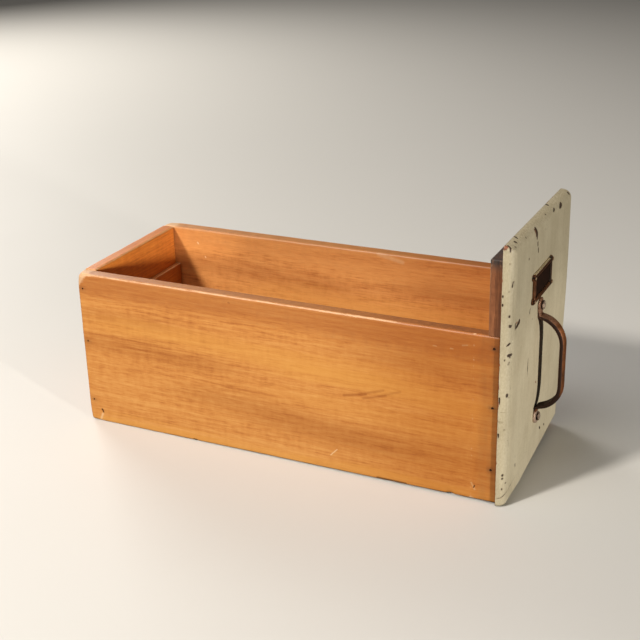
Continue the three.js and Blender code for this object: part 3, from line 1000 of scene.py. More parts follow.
@dataclass
class Board:
    """A wooden board with worn arrises, made round its CAD node's box."""

    name: str
    node: str
    slot: str
    finish: WoodFinish
    lower_radius: float = 1.0
    upper_radius: float = 1.6
    radius_spread: float = 0.28
    widest_radius: float = 0.48
    spacing: float = 2.4
    grade: tuple[float, ...] = (0.0, 0.35, 0.8, 1.4, 2.2, 3.3, 4.8)
    sway: float = 0.12
    corners: tuple[Knock, ...] = ()
    dents: tuple[Knock, ...] = ()
    seed: float = 0.0
    top_rub: float = 0.0
    top_reach: float = 1.6
    top_grime: float = 0.5
    arris_rub: float = 0.42
    arris_reach: float = 1.3
    arris_grime: float = 0.10
    crisp_angle: float = 35.0

    def __post_init__(self) -> None:
        """Reads the node's box."""
        self.low, self.high = node_box(self.node)

    def blank(self) -> Piece:
        """Makes the board before anything is cut into it.

        Returns:
            The board's object.
        """
        lines = [ruled(a, b, self.spacing, self.grade) for a, b in zip(self.low, self.high)]
        points, faces = box_skin(*lines)
        rise = smooth(points[:, 2], self.low[2], self.high[2])
        radius = self.lower_radius + (self.upper_radius - self.lower_radius) * rise
        radius *= 1 + self.radius_spread * grain_noise(points, (17.0, 17.0, 17.0), self.seed)
        radius = knocked(radius, points, self.corners)
        thinnest = (self.high - self.low).min()
        radius = np.minimum(radius, thinnest * self.widest_radius)[:, None]
        inner = np.clip(points, self.low + radius, self.high - radius)
        out = points - inner
        out /= np.maximum(np.linalg.norm(out, axis=1, keepdims=True), SMALLEST)
        points = inner + out * radius
        sink = self.sway * (0.5 + 0.5 * grain_noise(points, (60.0, 90.0, 45.0), self.seed + 7))
        sink = knocked(sink, points, self.dents)
        return mesh_object(self.name, points - out * sink[:, None], faces)

    def arris(self, points: np.ndarray) -> np.ndarray:
        """How much each place lies on an edge of the board's box."""
        inside = np.minimum(points - self.low, self.high - points)
        return near(np.sort(inside, axis=1)[:, 1], self.arris_reach)

    def on_top(self, points: np.ndarray) -> np.ndarray:
        """How much each place lies on the board's top."""
        return near(self.high[2] - points[:, 2], self.top_reach)

    def wear(self, points: np.ndarray) -> tuple[np.ndarray, np.ndarray]:
        """How rubbed and how dirty each place is.

        Args:
            points: places on the board.

        Returns:
            The rubbed and the dirty shares.
        """
        edge, worn_top = self.arris(points), self.top_rub * self.on_top(points)
        grime = self.arris_grime * edge + self.top_grime * worn_top
        return self.arris_rub * edge + worn_top, grime

    def age(self, points: np.ndarray) -> np.ndarray:
        """How much darker each place has grown."""
        return np.zeros(len(points))

    def cuts(self) -> list[Piece]:
        """The closed forms that are cut out of the board."""
        return []

    def settled(self, points: np.ndarray) -> np.ndarray:
        """Where the finished board's places end up after years of use."""
        return points

    def build(self) -> Piece:
        """Makes the board, cuts it, dresses it and reports it.

        Returns:
            The finished piece.
        """
        piece = self.blank()
        for tool in self.cuts():
            combine(piece, tool, Change.CUT)
        points = points_of(piece)
        move_points(piece, self.settled(points))
        rub, grime = self.wear(points)
        store(piece, "rub", np.clip(rub, 0, RUB_LIMIT))
        store(piece, "grime", np.clip(grime, 0, GRIME_AND_SHADE_LIMIT))
        store(piece, "age", self.age(points))
        shade(piece, self.crisp_angle)
        hand_over(piece, [self.node], self.finish.build())
        return piece


@dataclass
class SideBoard(Board):
    """A side of the box: grooved inside for the bottom, with sunk nails at both ends."""

    hand: int = -1
    groove: Span = BOTTOM_GROOVE
    groove_depth: float = GROOVE_DEPTH
    groove_stop: float = 7.5
    nail_holes: tuple[Span, ...] = ()
    hole_radius: float = 1.15
    rear_hole_share: float = 0.8
    hole_depth: float = 1.7
    hole_steps: int = 20
    top_rub: float = 0.18
    rear_rub: float = 0.50
    rear_reach: float = 2.4
    foot_rub: float = 0.36
    foot_reach: float = 1.6
    corner_rub: float = 1.1
    corner_reach: float = 10.0
    outer_arris_rub: float = 0.62
    hand_span: Span = (20.0, 110.0)
    pale_line_rub: float = 0.40
    pale_line_place: float = 21.0
    pale_line_reach: float = 2.4
    face_depth: Span = (4.0, 1.0)
    # Painted shade, mottled by smudge noise, in the band along the front end where the side meets
    # the lip.
    smudge_and_shade: float = 0.26
    smudge_span: Span = (19.0, 12.0)
    smudge_waves: Place = (30.0, 2.4, 26.0)
    joint_shade: float = 0.22
    joint_shade_span: Span = (8.0, 1.0)
    nail_grime: float = 0.55
    nail_reach: float = 2.2
    nail_stretch: float = 1.6
    top_grime: float = 0.32
    top_start: float = 2.2
    front_grime: float = 0.26
    front_span: Span = (120.0, 15.0)
    foot_grime: float = 0.18
    aged_span: Span = (175.0, 30.0)

    def cuts(self) -> list[Piece]:
        """Makes the forms of the groove and the nail holes.

        Returns:
            The closed forms.
        """
        outer, inner = ((self.low[0], self.high[0]) if self.hand < 0
                        else (self.high[0], self.low[0]))
        floor, mouth = inner + self.hand * self.groove_depth, inner - self.hand * CUT_OVER
        tools = [plain_box(
            "groove", (min(floor, mouth), self.low[1] - CUT_OVER, self.groove[0]),
            (max(floor, mouth), self.high[1] - self.groove_stop, self.groove[1]))]
        for y, z in self.nail_holes:
            radius = self.hole_radius * (self.rear_hole_share if y > 0 else 1.0)
            hole = turned("hole", [(0, CUT_OVER), (radius, CUT_OVER), (radius, -self.hole_depth),
                                   (0, -self.hole_depth)], self.hole_steps)
            turn = Matrix.Rotation(self.hand * math.pi / 2, 4, "Y")
            hole.data.transform(Matrix.Translation(Vector((outer, y, z)) * MM) @ turn)
            tools.append(hole)
        return tools

    def wear(self, points: np.ndarray) -> tuple[np.ndarray, np.ndarray]:
        """How rubbed and how dirty each place is, with painted shade in the band where the side
        meets the lip.

        Args:
            points: places on the board.

        Returns:
            The rubbed share, and the share of dirt and painted shade.
        """
        x, y, z = points.T
        outer = self.low[0] if self.hand < 0 else self.high[0]
        front, from_rear = y - self.low[1], self.high[1] - y
        on_top = self.on_top(points)
        top_arris = on_top * near(x - outer, self.arris_reach)
        foot = near(z - self.low[2], self.foot_reach)
        outside = smooth(np.abs(x - outer), *self.face_depth)
        corner = near(np.hypot(from_rear, self.high[2] - z), self.corner_reach)
        rubbed = self.outer_arris_rub * top_arris * smooth(front, *self.hand_span)
        rubbed += self.top_rub * on_top
        rubbed += self.foot_rub * foot + self.rear_rub * near(
            from_rear, self.rear_reach) * smooth(z, self.low[2], self.high[2])
        rubbed += self.corner_rub * corner
        smudge = 0.75 + 0.5 * grain_noise(points, self.smudge_waves, self.seed + 9)
        rubbed += self.pale_line_rub * outside * near(
            front - self.pale_line_place, self.pale_line_reach)
        # Painted shade: a dark band along the outer face's front end, where the side meets the
        # lip, mottled by the smudge noise.
        grime = self.smudge_and_shade * outside * smudge * smooth(front, *self.smudge_span)
        grime += self.joint_shade * outside * smooth(front, *self.joint_shade_span)
        flat_top = on_top * (1 - near(x - outer, self.top_start))
        near_front = self.front_grime * smooth(front, *self.front_span)
        grime += flat_top * (self.top_grime + near_front) + self.foot_grime * foot
        for hole_y, hole_z in self.nail_holes:
            away = np.hypot((y - hole_y) / self.nail_stretch, z - hole_z)
            grime += self.nail_grime * outside * near(away, self.nail_reach)
        return rubbed, grime

    def age(self, points: np.ndarray) -> np.ndarray:
        """How much darker each place has grown, most towards the front.

        Args:
            points: places on the board.

        Returns:
            The shares.
        """
        front = points[:, 1] - self.low[1]
        patches = 0.5 + 0.5 * grain_noise(points, (60.0, 90.0, 28.0), self.seed + 3)
        return np.clip(smooth(front, *self.aged_span) * (0.65 + 0.5 * patches), 0, 1)


@dataclass
class Tongue(Board):
    """The inner layer of the front, which carries the sides and the bottom."""

    box_depth: float = 11.0
    box_foot: float = 0.2
    box_top: float = 213.5
    shoulder: float = 150.3
    half_below: float = 67.7
    groove: Span = BOTTOM_GROOVE
    groove_depth: float = GROOVE_DEPTH
    lift: float = 6.2
    lift_start: float = -45.0
    lift_run: float = 128.0
    lift_height: float = 7.6
    arris_rub: float = 0.40
    arris_reach: float = 1.2
    arris_grime: float = 0.3
    top_reach: float = 7.0
    top_grime: float = 1.4
    streak_rub: float = 0.42
    smear_grime: float = 0.5

    def __post_init__(self) -> None:
        """Takes the inner layer out of the node's box."""
        super().__post_init__()
        back = self.high[1]
        self.low = np.array([-BOX_HALF, back - self.box_depth, self.box_foot])
        self.high = np.array([BOX_HALF, back, self.box_top])

    def cuts(self) -> list[Piece]:
        """Makes the forms of the notches for the sides and of the groove for the bottom.

        Returns:
            The closed forms.
        """
        tools = []
        for hand in (-1, 1):
            inner, outer = hand * self.half_below, hand * (self.high[0] + CUT_OVER)
            tools.append(plain_box(
                "notch", (min(inner, outer), self.low[1] - CUT_OVER, self.low[2] - CUT_OVER),
                (max(inner, outer), self.high[1] + CUT_OVER, self.shoulder)))
        tools.append(plain_box(
            "groove", (-self.half_below - CUT_OVER, self.high[1] - self.groove_depth,
                       self.groove[0]),
            (self.half_below + CUT_OVER, self.high[1] + CUT_OVER, self.groove[1])))
        return tools

    def settled(self, points: np.ndarray) -> np.ndarray:
        """Lifts the far end of the bottom edge, as on the lip in front of it.

        Args:
            points: places on the straight tongue.

        Returns:
            The places after years of use.
        """
        across = np.clip((points[:, 0] - self.lift_start) / self.lift_run, 0, 1)
        below = np.clip(1 - points[:, 2] / self.lift_height, 0, 1)
        placed = points.copy()
        placed[:, 2] += self.lift * across * below
        return placed

    def wear(self, points: np.ndarray) -> tuple[np.ndarray, np.ndarray]:
        """How rubbed and how dirty each place is.

        Args:
            points: places on the tongue.

        Returns:
            The rubbed and the dirty shares.
        """
        edge, top = self.arris(points), self.on_top(points)
        streaks = np.clip(0.5 + 1.1 * grain_noise(points, (3.2, 3.2, 44.0), self.seed), 0, 1)
        smears = np.clip(grain_noise(points, (6.0, 6.0, 24.0), self.seed + 5), 0, 1)
        rubbed = self.arris_rub * edge * (1 - top) + self.streak_rub * streaks
        return rubbed, (self.top_grime * top + self.arris_grime * edge
                        + self.smear_grime * smears)


# The painted front


@dataclass(frozen=True)
class Chip:
    """A place where the paint is off: a stroke from one end to the other, in X and Z."""

    start: Span
    end: Span
    start_radius: float
    end_radius: float


@dataclass
class PaintedLip:
    """The outer layer of the front, rounded over all round, painted and chipped."""

    finish: PaintFinish
    node: str = "front_board"
    thickness: float = 9.5
    round_over: float = 8.5
    corner_radius: float = 2.6
    spacing: float = 1.15
    round_steps: int = 9
    back_lines: Place = (0.4, 0.12, 0.0)
    chip_depth: float = 0.28
    chip_spread: float = 0.2
    chips: tuple[Chip, ...] = ()
    cracks: tuple[Chip, ...] = ()
    bare_corner: tuple[Chip, ...] = ()
    lean_heights: tuple[float, ...] = (0, 36, 84, 132, 168, 225)
    lean: tuple[float, ...] = (-2.8, -2.1, 0.0, 1.3, 1.8, 1.6)
    lean_starts: Span = (-45.0, 22.0)
    lean_start_heights: Span = (25.0, 44.0)
    corner_rise: float = 6.5
    rise_start: float = -45.0
    rise_heights: Span = (70.0, 0.0)
    ripple_depth: float = 0.10
    back_bare: float = 0.48
    back_slope: float = 1.4
    ragged_waves: Place = (2.4, 2.4, 2.4)
    ragged_depth: float = 1.4
    patch_waves: Place = (8.0, 8.0, 8.0)
    patch_depth: float = 1.5
    edge_grime: float = 0.08
    edge_reach: float = 1.6
    foot_grime: float = 0.08
    foot_span: Span = (12.0, 0.0)
    crest_grime: float = 0.40
    crest_reach: float = 4.5
    upper_age: float = 1.15
    aged_heights: Span = (110.0, 205.0)
    flank_age: float = 0.70
    flank_reach: float = 6.0
    crisp_angle: float = 50.0

    def __post_init__(self) -> None:
        """Reads the node's box; the lip is its front layer."""
        self.low, high = node_box(self.node)
        self.high = np.array([high[0], self.low[1] + self.thickness, high[2]])

    def inset(self, x: np.ndarray, z: np.ndarray) -> np.ndarray:
        """Distance of each place from the front's rounded outline.

        Args:
            x: the places' X.
            z: the places' Z.

        Returns:
            The distances, above 0 inside the outline.
        """
        half = (self.high - self.low) / 2
        middle = (self.high + self.low) / 2
        radius = self.corner_radius
        dx = np.abs(x - middle[0]) - (half[0] - radius)
        dz = np.abs(z - middle[2]) - (half[2] - radius)
        outside = np.hypot(np.maximum(dx, 0), np.maximum(dz, 0))
        return radius - outside - np.minimum(np.maximum(dx, dz), 0)

    def face_depth(self, inset: np.ndarray) -> np.ndarray:
        """How far in front of the lip's back the face lies.

        Args:
            inset: distance of each place from the outline.

        Returns:
            The depths.
        """
        rest = self.round_over - np.clip(inset, 0, self.round_over)
        flat = self.thickness - self.round_over
        return flat + np.sqrt(np.maximum(self.round_over ** 2 - rest ** 2, 0))

    def blank(self) -> tuple[Piece, np.ndarray]:
        """Makes the lip, warped and worn.

        Returns:
            The lip's object, and where its vertices would be on a straight lip.
        """
        angles = np.linspace(0, math.pi / 2, self.round_steps + 1)
        grade = tuple(self.round_over * (1 - np.cos(angles)))
        xs = ruled(self.low[0], self.high[0], self.spacing, grade)
        zs = ruled(self.low[2], self.high[2], self.spacing, grade)
        ys = self.high[1] - np.array([self.thickness, *self.back_lines])
        points, faces = box_skin(xs, ys, zs)
        middle = (self.high + self.low) / 2
        half = (self.high - self.low) / 2 - self.corner_radius
        offset = points - middle
        beyond = np.sign(offset) * np.maximum(np.abs(offset) - half, 0)
        beyond[:, 1] = 0
        square = np.abs(beyond).max(axis=1)
        length = np.maximum(np.linalg.norm(beyond, axis=1), SMALLEST)
        both = (np.abs(beyond[:, 0]) > 0) & (np.abs(beyond[:, 2]) > 0)
        pull = np.where(both, square / length, 1.0)[:, None]
        points = points - beyond * (1 - pull)
        inset = self.inset(points[:, 0], points[:, 2])
        front = points[:, 1] < self.low[1] + 1e-6
        depth = np.where(front, self.face_depth(inset), self.high[1] - points[:, 1])
        points[:, 1] = self.high[1] - depth
        return mesh_object("painted_lip", self.warped(points, depth), faces), points

    def warped(self, points: np.ndarray, depth: np.ndarray) -> np.ndarray:
        """Twists the lip a little and lifts the far end of its bottom edge.

        Args:
            points: places on the straight lip.
            depth: how far each is in front of the lip's back.

        Returns:
            The places after years of use.
        """
        start = np.interp(points[:, 2], self.lean_start_heights, self.lean_starts)
        far = np.clip((points[:, 0] - start) / (self.high[0] - start), 0, 1)
        lean = np.interp(points[:, 2], self.lean_heights, self.lean)
        share = depth / self.thickness
        worn = points.copy()
        worn[:, 1] -= far * lean * share
        low_end = smooth(points[:, 2], *self.rise_heights)
        across = np.clip((points[:, 0] - self.rise_start) / (self.high[0] - self.rise_start),
                         0, 1)
        worn[:, 2] += self.corner_rise * low_end * across
        ripple = grain_noise(points, (22.0, 22.0, 60.0), 3.1)
        worn[:, 1] += share * self.ripple_depth * (1 + ripple)
        gap = np.minimum(self.chip_field(points), self.bare_field(points))
        worn[:, 1] += share * self.chip_depth * smooth(gap, 0.5, -0.5)
        return worn

    def on_face(self, spots: np.ndarray) -> np.ndarray:
        """Carries (X, Z) places on to the straight lip's rounded face.

        Args:
            spots: the places, one row each.

        Returns:
            The places on the face.
        """
        inset = np.maximum(self.inset(spots[:, 0], spots[:, 1]), 0)
        return np.stack([spots[:, 0], self.high[1] - self.face_depth(inset), spots[:, 1]],
                        axis=1)

    def stroke_gap(self, points: np.ndarray, strokes: tuple[Chip, ...]) -> np.ndarray:
        """Distance of each place from the nearest stroke's edge, below 0 inside it.

        Args:
            points: places on the lip.
            strokes: the strokes.

        Returns:
            The distances, at most a few millimetres.
        """
        nearest = np.full(len(points), 6.0)
        for chip in strokes:
            start, end = self.on_face(np.array([chip.start, chip.end]))
            run, away = end - start, points - start
            share = np.clip(away @ run / max(run @ run, SMALLEST), 0, 1)
            radius = chip.start_radius + (chip.end_radius - chip.start_radius) * share
            span = np.linalg.norm(away - share[:, None] * run, axis=1)
            nearest = np.minimum(nearest, span - radius)
        return nearest

    def chip_field(self, points: np.ndarray) -> np.ndarray:
        """Distance of each place from the nearest dark chip or crack."""
        return np.minimum(self.stroke_gap(points, self.chips) - self.chip_spread,
                          self.stroke_gap(points, self.cracks))

    def bare_field(self, points: np.ndarray) -> np.ndarray:
        """Distance of each place from the wood that lies bare at a corner and at the back.

        Args:
            points: places on the lip.

        Returns:
            The distances, below 0 on bare wood.
        """
        back = self.high[1] - points[:, 1]
        ragged = grain_noise(points, self.ragged_waves, 9.2)
        patchy = grain_noise(points, self.patch_waves, 4.4)
        behind = back * self.back_slope + self.back_bare
        behind = behind - self.ragged_depth * ragged - self.patch_depth * patchy
        corner = self.stroke_gap(points, self.bare_corner) - 0.5 * ragged
        return np.minimum(np.where(back < 0.05, -1.0, behind), corner)

    def build(self) -> Piece:
        """Makes the lip, dresses it and reports it.

        Returns:
            The finished piece.
        """
        piece, points = self.blank()
        store(piece, "chip", self.chip_field(points))
        store(piece, "bare", self.bare_field(points))
        edge = near(self.inset(points[:, 0], points[:, 2]), self.edge_reach)
        foot = smooth(points[:, 2], *self.foot_span)
        crest = near(self.high[2] - points[:, 2], self.crest_reach)
        store(piece, "grime", self.edge_grime * edge + self.foot_grime * foot
              + self.crest_grime * crest)
        flank = near(self.high[0] - np.abs(points[:, 0]), self.flank_reach)
        store(piece, "age", self.upper_age * smooth(points[:, 2], *self.aged_heights)
              + self.flank_age * flank)
        shade(piece, self.crisp_angle)
        hand_over(piece, [self.node], self.finish.build())
        return piece


# Metalwork on the front


@dataclass(frozen=True)
class Bar:
    """A crowned bar's section: its width, its edges' height, what its crown adds to it."""

    width: float
    edge: float
    crown: float
    section_points: int
    weld_gap: float

    def sweep(self, piece: Piece, tree: Tree,
              material: Material, **along: np.ndarray) -> None:
        """Sweeps the bar along a line and welds its skin.

        Args:
            piece: the line's object, which becomes the bar.
            tree: the tree that sweeps a crowned bar.
            material: the bar's material.
            along: width_share, height_share, sideways and outward for each place on the line.
        """
        for name, values in along.items():
            store(piece, name, values)
        run_tree(piece, tree, {
            "Width": self.width * MM, "Edge Height": self.edge * MM,
            "Crown Height": self.crown * MM, "Section Points": self.section_points,
            "Material": material})
        weld(piece, self.weld_gap)


@dataclass
class FrontMetal:
    """A piece of metal that sits on the front's face, made about its CAD node's middle."""

    finish: MetalFinish
    node: str
    crisp_angle: float = 40.0

    def __post_init__(self) -> None:
        """Reads the node's box: the piece's middle and the plane that it sits on."""
        low, high = node_box(self.node)
        self.centre = (low + high) / 2
        self.seat = high[1]

    def on_seat(self, across: np.ndarray, out: np.ndarray, rise: np.ndarray) -> np.ndarray:
        """Places across, out from and up the front, about the piece's middle on its seat."""
        return np.stack([self.centre[0] + across, self.seat + out, self.centre[2] + rise], axis=1)


@dataclass
class StrapPull(FrontMetal):
    """A bent strap with a crowned back, and a flattened round foot at each end."""

    node: str = "strap_pull"
    bar: Bar = Bar(width=10.6, edge=1.2, crown=3.0, section_points=28, weld_gap=0.02)
    foot_radius: float = 6.5
    foot_share: float = 0.47
    foot_root: float = 8.8
    foot_flat: Span = (14.0, 7.0)
    foot_tip: float = 0.8
    tip_share: float = 0.8
    screw_spacing: float = 102.0
    clear_depth: float = 19.28
    grip_length: float = 37.0
    bend_radius: float = 22.0
    neck_radius: float = 3.4
    neck_angle: float = 66.0
    spacing: float = 0.8
    # Painted highlight on the upper neck and the lower foot; painted shade on the flanks and on
    # the lower neck.
    highlit_neck: Span = (22.0, 42.0)
    highlit_foot: Span = (-43.0, -48.0)
    shaded_neck: Span = (-20.0, -34.0)
    shaded_neck_end: Span = (-45.0, -41.0)
    shaded_flank: Span = (0.52, 0.84)
    shaded_flank_end: Span = (50.0, 44.0)

    def rail(self) -> tuple[np.ndarray, np.ndarray]:
        """Works out the strap's inner line from the upper tip to the lower one.

        Returns:
            Places (Y, Z) about the strap's middle, and the way out from the line at each.
        """
        turn = math.radians(self.neck_angle)
        bends = (self.neck_radius + self.bend_radius) * (1 - math.cos(turn))
        slope = (self.clear_depth - bends) / math.sin(turn)
        grip = self.grip_length / 2
        neck = grip + (self.neck_radius + self.bend_radius) * math.sin(turn)
        neck += slope * math.cos(turn)
        tip = self.screw_spacing / 2 + self.foot_radius
        legs = [(tip - neck, 0.0), (self.neck_radius * turn, turn), (slope, 0.0),
                (self.bend_radius * turn, -turn), (grip, 0.0)]
        place, heading = np.array([0.0, tip]), 0.0
        places, ways = [place.copy()], [np.array([-1.0, 0.0])]
        for length, bend in legs:
            steps = max(int(round(length / self.spacing)), 2)
            for _ in range(steps):
                heading += bend / steps / 2
                place = place + length / steps * np.array([-math.sin(heading),
                                                           -math.cos(heading)])
                heading += bend / steps / 2
                places.append(place.copy())
                ways.append(np.array([-math.cos(heading), math.sin(heading)]))
        upper, out = np.array(places), np.array(ways)
        mirror = np.array([1.0, -1.0])
        return (np.concatenate([upper, upper[-2::-1] * mirror]),
                np.concatenate([out, out[-2::-1] * mirror]))

    def shares(self, places: np.ndarray) -> tuple[np.ndarray, np.ndarray]:
        """Width and height of the strap along its line, as shares of the bar's.

        Args:
            places: places (Y, Z) about the strap's middle.

        Returns:
            The width shares and the height shares.
        """
        height = np.abs(places[:, 1])
        screw, half = self.screw_spacing / 2, self.bar.width / 2
        root = screw - self.foot_root
        spread = np.clip((height - root) / (screw - root), 0, 1)
        width = half + (self.foot_radius - half) * spread ** 2
        beyond = np.clip(height - screw, 0, self.foot_radius)
        width = np.where(height > screw, np.sqrt(
            np.maximum(self.foot_radius ** 2 - beyond ** 2, 0.0)), width)
        flat = smooth(height, screw - self.foot_flat[0], screw - self.foot_flat[1])
        tall = 1 + (self.foot_share - 1) * flat
        at_tip = beyond > self.foot_radius - self.foot_tip
        return width / half, tall * np.where(at_tip, self.tip_share, 1)

    def build(self, tree: Tree) -> Piece:
        """Sweeps the strap, dresses it and reports it.

        Args:
            tree: the tree that sweeps a crowned bar.

        Returns:
            The finished piece.
        """
        places, ways = self.rail()
        still = np.zeros(len(places))
        width, height = self.shares(places)
        piece = line_object("bent_strap_pull", self.on_seat(still, *places.T))
        self.bar.sweep(piece, tree, self.finish.build(), width_share=width, height_share=height,
                       sideways=np.tile([1.0, 0.0, 0.0], (len(places), 1)),
                       outward=np.stack([still, *ways.T], axis=1))
        rise = points_of(piece)[:, 2] - self.centre[2]
        facing = np.zeros(len(rise) * 3, np.float32)
        piece.data.vertex_normals.foreach_get("vector", facing)
        flank = smooth(np.abs(facing[::3]), *self.shaded_flank)
        flank_end = smooth(np.abs(rise), *self.shaded_flank_end)
        neck, foot = smooth(rise, *self.highlit_neck), smooth(rise, *self.highlit_foot)
        # Painted highlight on the upper neck and the lower foot; painted shade on the sideways
        # flanks and the lower neck.
        store(piece, "rub", 0.45 * neck + 0.95 * foot)
        store(piece, "grime", 0.95 * flank * flank_end + 0.85 * smooth(
            rise, *self.shaded_neck) * smooth(rise, *self.shaded_neck_end))
        shade(piece, self.crisp_angle)
        hand_over(piece, [self.node])
        return piece


@dataclass
class LabelHolder(FrontMetal):
    """A small bead-edged frame with a round pad at each corner and a pocket for a card."""

    node: str = "label_frame"
    card_node: str = "label_card"
    width: float = 50.8
    height: float = 25.4
    rim_height: float = 2.2
    bar: Bar = Bar(width=4.2, edge=1.2, crown=1.0, section_points=22, weld_gap=0.01)
    rim_spacing: float = 1.6
    pad_radius: float = 2.9
    pad_height: float = 1.3
    pad_steps: int = 28
    pad_dish: float = 0.25
    pad_edge: tuple[Span, ...] = ((1.3, 0.2), (0.9, 0.0), (0.35, 0.0), (0.08, 0.2), (0.0, 0.55))
    overhang: float = 2.8
    rise: float = 0.3
    pocket_depth: float = 0.95
    pocket_lap: float = 1.0
    card_thickness: float = 0.32
    card_bow: float = 0.22
    card_spacing: float = 0.9
    card_grade: Place = (0.0, 0.12, 0.3)
    card_fray: float = 0.05
    # Painted highlight along the top outer edge, and painted shade in a line under it and at the
    # right inner end.
    highlight_top: Span = (0.7, 0.2)
    highlight_ends: Span = (1.0, 4.0)
    shade_line: float = 1.9
    shade_line_reach: float = 0.8
    shade_right: Span = (2.6, 3.2)
    shade_right_start: Span = (18.0, 20.5)
    dull_corners: Span = (4.0, 2.5)

    def pads(self) -> list[Span]:
        """Works out the middles of the four pads.

        Returns:
            The places in X and Z.
        """
        dx = self.width / 2 + self.overhang - self.pad_radius
        dz = self.height / 2 + self.rise - self.pad_radius
        return [(self.centre[0] + side * dx, self.centre[2] + up * dz)
                for up in (1, -1) for side in (-1, 1)]

    def rim(self, tree: Tree, material: Material) -> Piece:
        """Sweeps the bead round the window.

        Args:
            tree: the tree that sweeps a crowned bar.
            material: the holder's material.

        Returns:
            The rim's object.
        """
        half = np.array([self.width, self.height]) / 2 - self.bar.width / 2
        corners = np.array([(-1, -1), (1, -1), (1, 1), (-1, 1)], float)
        spots, sideways = [], []
        for number, corner in enumerate(corners):
            run = corners[(number + 1) % 4] - corner
            out = np.array([run[1], -run[0]]) / 2
            steps = int(abs(run @ half) / self.rim_spacing)
            for step in range(steps):
                spots.append((corner + run * step / steps) * half)
                sideways.append(corner if step == 0 else out)
        flat, ways = np.array(spots), np.array(sideways)
        still, even = np.zeros(len(flat)), np.ones(len(flat))
        piece = line_object("bead_edged_label_holder",
                            self.on_seat(flat[:, 0], still, flat[:, 1]), closed=True)
        self.bar.sweep(piece, tree, material, width_share=even, height_share=even,
                       sideways=np.stack([ways[:, 0], still, ways[:, 1]], axis=1),
                       outward=np.tile([0.0, -1.0, 0.0], (len(flat), 1)))
        return piece

    def build(self, tree: Tree) -> Piece:
        """Makes the holder, dresses it and reports it.

        Args:
            tree: the tree that sweeps a crowned bar.

        Returns:
            The finished piece.
        """
        material = self.finish.build()
        piece = self.rim(tree, material)
        tall, wide = self.pad_height, self.pad_radius
        rounded = [(0, tall - self.pad_dish),
                   *((wide - inward, tall - down) for inward, down in self.pad_edge),
                   (wide, 0), (0, 0)]
        upright = Matrix.Rotation(math.pi / 2, 4, "X")
        for x, z in self.pads():
            pad = turned("pad", rounded, self.pad_steps)
            pad.data.transform(Matrix.Translation(Vector((x, self.seat, z)) * MM) @ upright)
            combine(piece, pad, Change.JOIN)
        inset = self.bar.width - self.pocket_lap
        pocket = plain_box(
            "pocket", (self.centre[0] - self.width / 2 + inset, self.seat - self.pocket_depth,
                       self.centre[2] - self.height / 2 + inset),
            (self.centre[0] + self.width, self.seat + 2.0,
             self.centre[2] + self.height / 2 - inset))
        combine(piece, pocket, Change.CUT)
        rub, grime = self.wear(points_of(piece))
        store(piece, "rub", rub)
        store(piece, "grime", grime)
        shade(piece, self.crisp_angle)
        hand_over(piece, [self.node], material)
        return piece

    def wear(self, points: np.ndarray) -> tuple[np.ndarray, np.ndarray]:
        """How rubbed each place is, with painted highlight along the top edge, and how dark, with
        painted shade in a line under the top edge and at the right inner end.

        Args:
            points: places on the holder.

        Returns:
            The rubbed and highlit share, and the dark and shaded share.
        """
        x, z = points[:, 0] - self.centre[0], points[:, 2] - self.centre[2]
        half_x, half_z = self.width / 2, self.height / 2
        # Painted highlight along the top outer edge.
        outer_top = smooth(z, *(half_z - inset for inset in self.highlight_top))
        ends = smooth(np.abs(x), *(half_x - inset for inset in self.highlight_ends))
        proud = smooth(self.seat - points[:, 1], self.bar.edge, self.rim_height)
        line = near(z - half_z + self.shade_line, self.shade_line_reach)
        right = smooth(x, *(half_x - inset for inset in self.shade_right))
        from_corner = np.hypot(np.abs(x) - half_x, np.abs(z) - half_z)
        # Painted shade: a dark line under the top edge and a dark right inner end; the corners
        # grow dark too.
        dull_and_shaded = 0.7 * line + 0.8 * right * smooth(x, *self.shade_right_start)
        dull_and_shaded += 0.35 * smooth(from_corner, *self.dull_corners)
        return 0.25 * proud + 1.1 * outer_top * ends, dull_and_shaded

    def build_card(self, finish: CardFinish) -> Piece:
        """Makes the card in the pocket, a little bowed and frayed, and reports it.

        Args:
            finish: the card's finish.

        Returns:
            The finished piece.
        """
        low, high = node_box(self.card_node)
        lines = [ruled(a, b, self.card_spacing, self.card_grade) for a, b in zip(low, high)]
        points, faces = box_skin(*lines)
        middle = (low + high) / 2
        bow = self.card_bow * ((points[:, 0] - middle[0]) / (high[0] - middle[0])) ** 2
        points[:, 1] = np.where(points[:, 1] < middle[1], low[1] + bow,
                                low[1] + bow + self.card_thickness)
        points[:, 2] += self.card_fray * grain_noise(points, (2.0, 2.0, 2.0), 5.5)
        points[:, 2] = np.clip(points[:, 2], low[2], high[2])
        piece = mesh_object("blank_card", points, faces)
        shade(piece, self.crisp_angle)
        hand_over(piece, [self.card_node], finish.build())
        return piece


NAIL_HEAD: tuple[Span, ...] = ((0.0, 0.12), (0.35, 0.05), (0.6, 0.0), (0.88, 0.06), (1.0, 0.28))


class FastenerKind(Enum):
    """The three kinds of fastener on the drawer."""

    NAIL = "nail"
    SCREW = "screw"
    PIN = "pin"


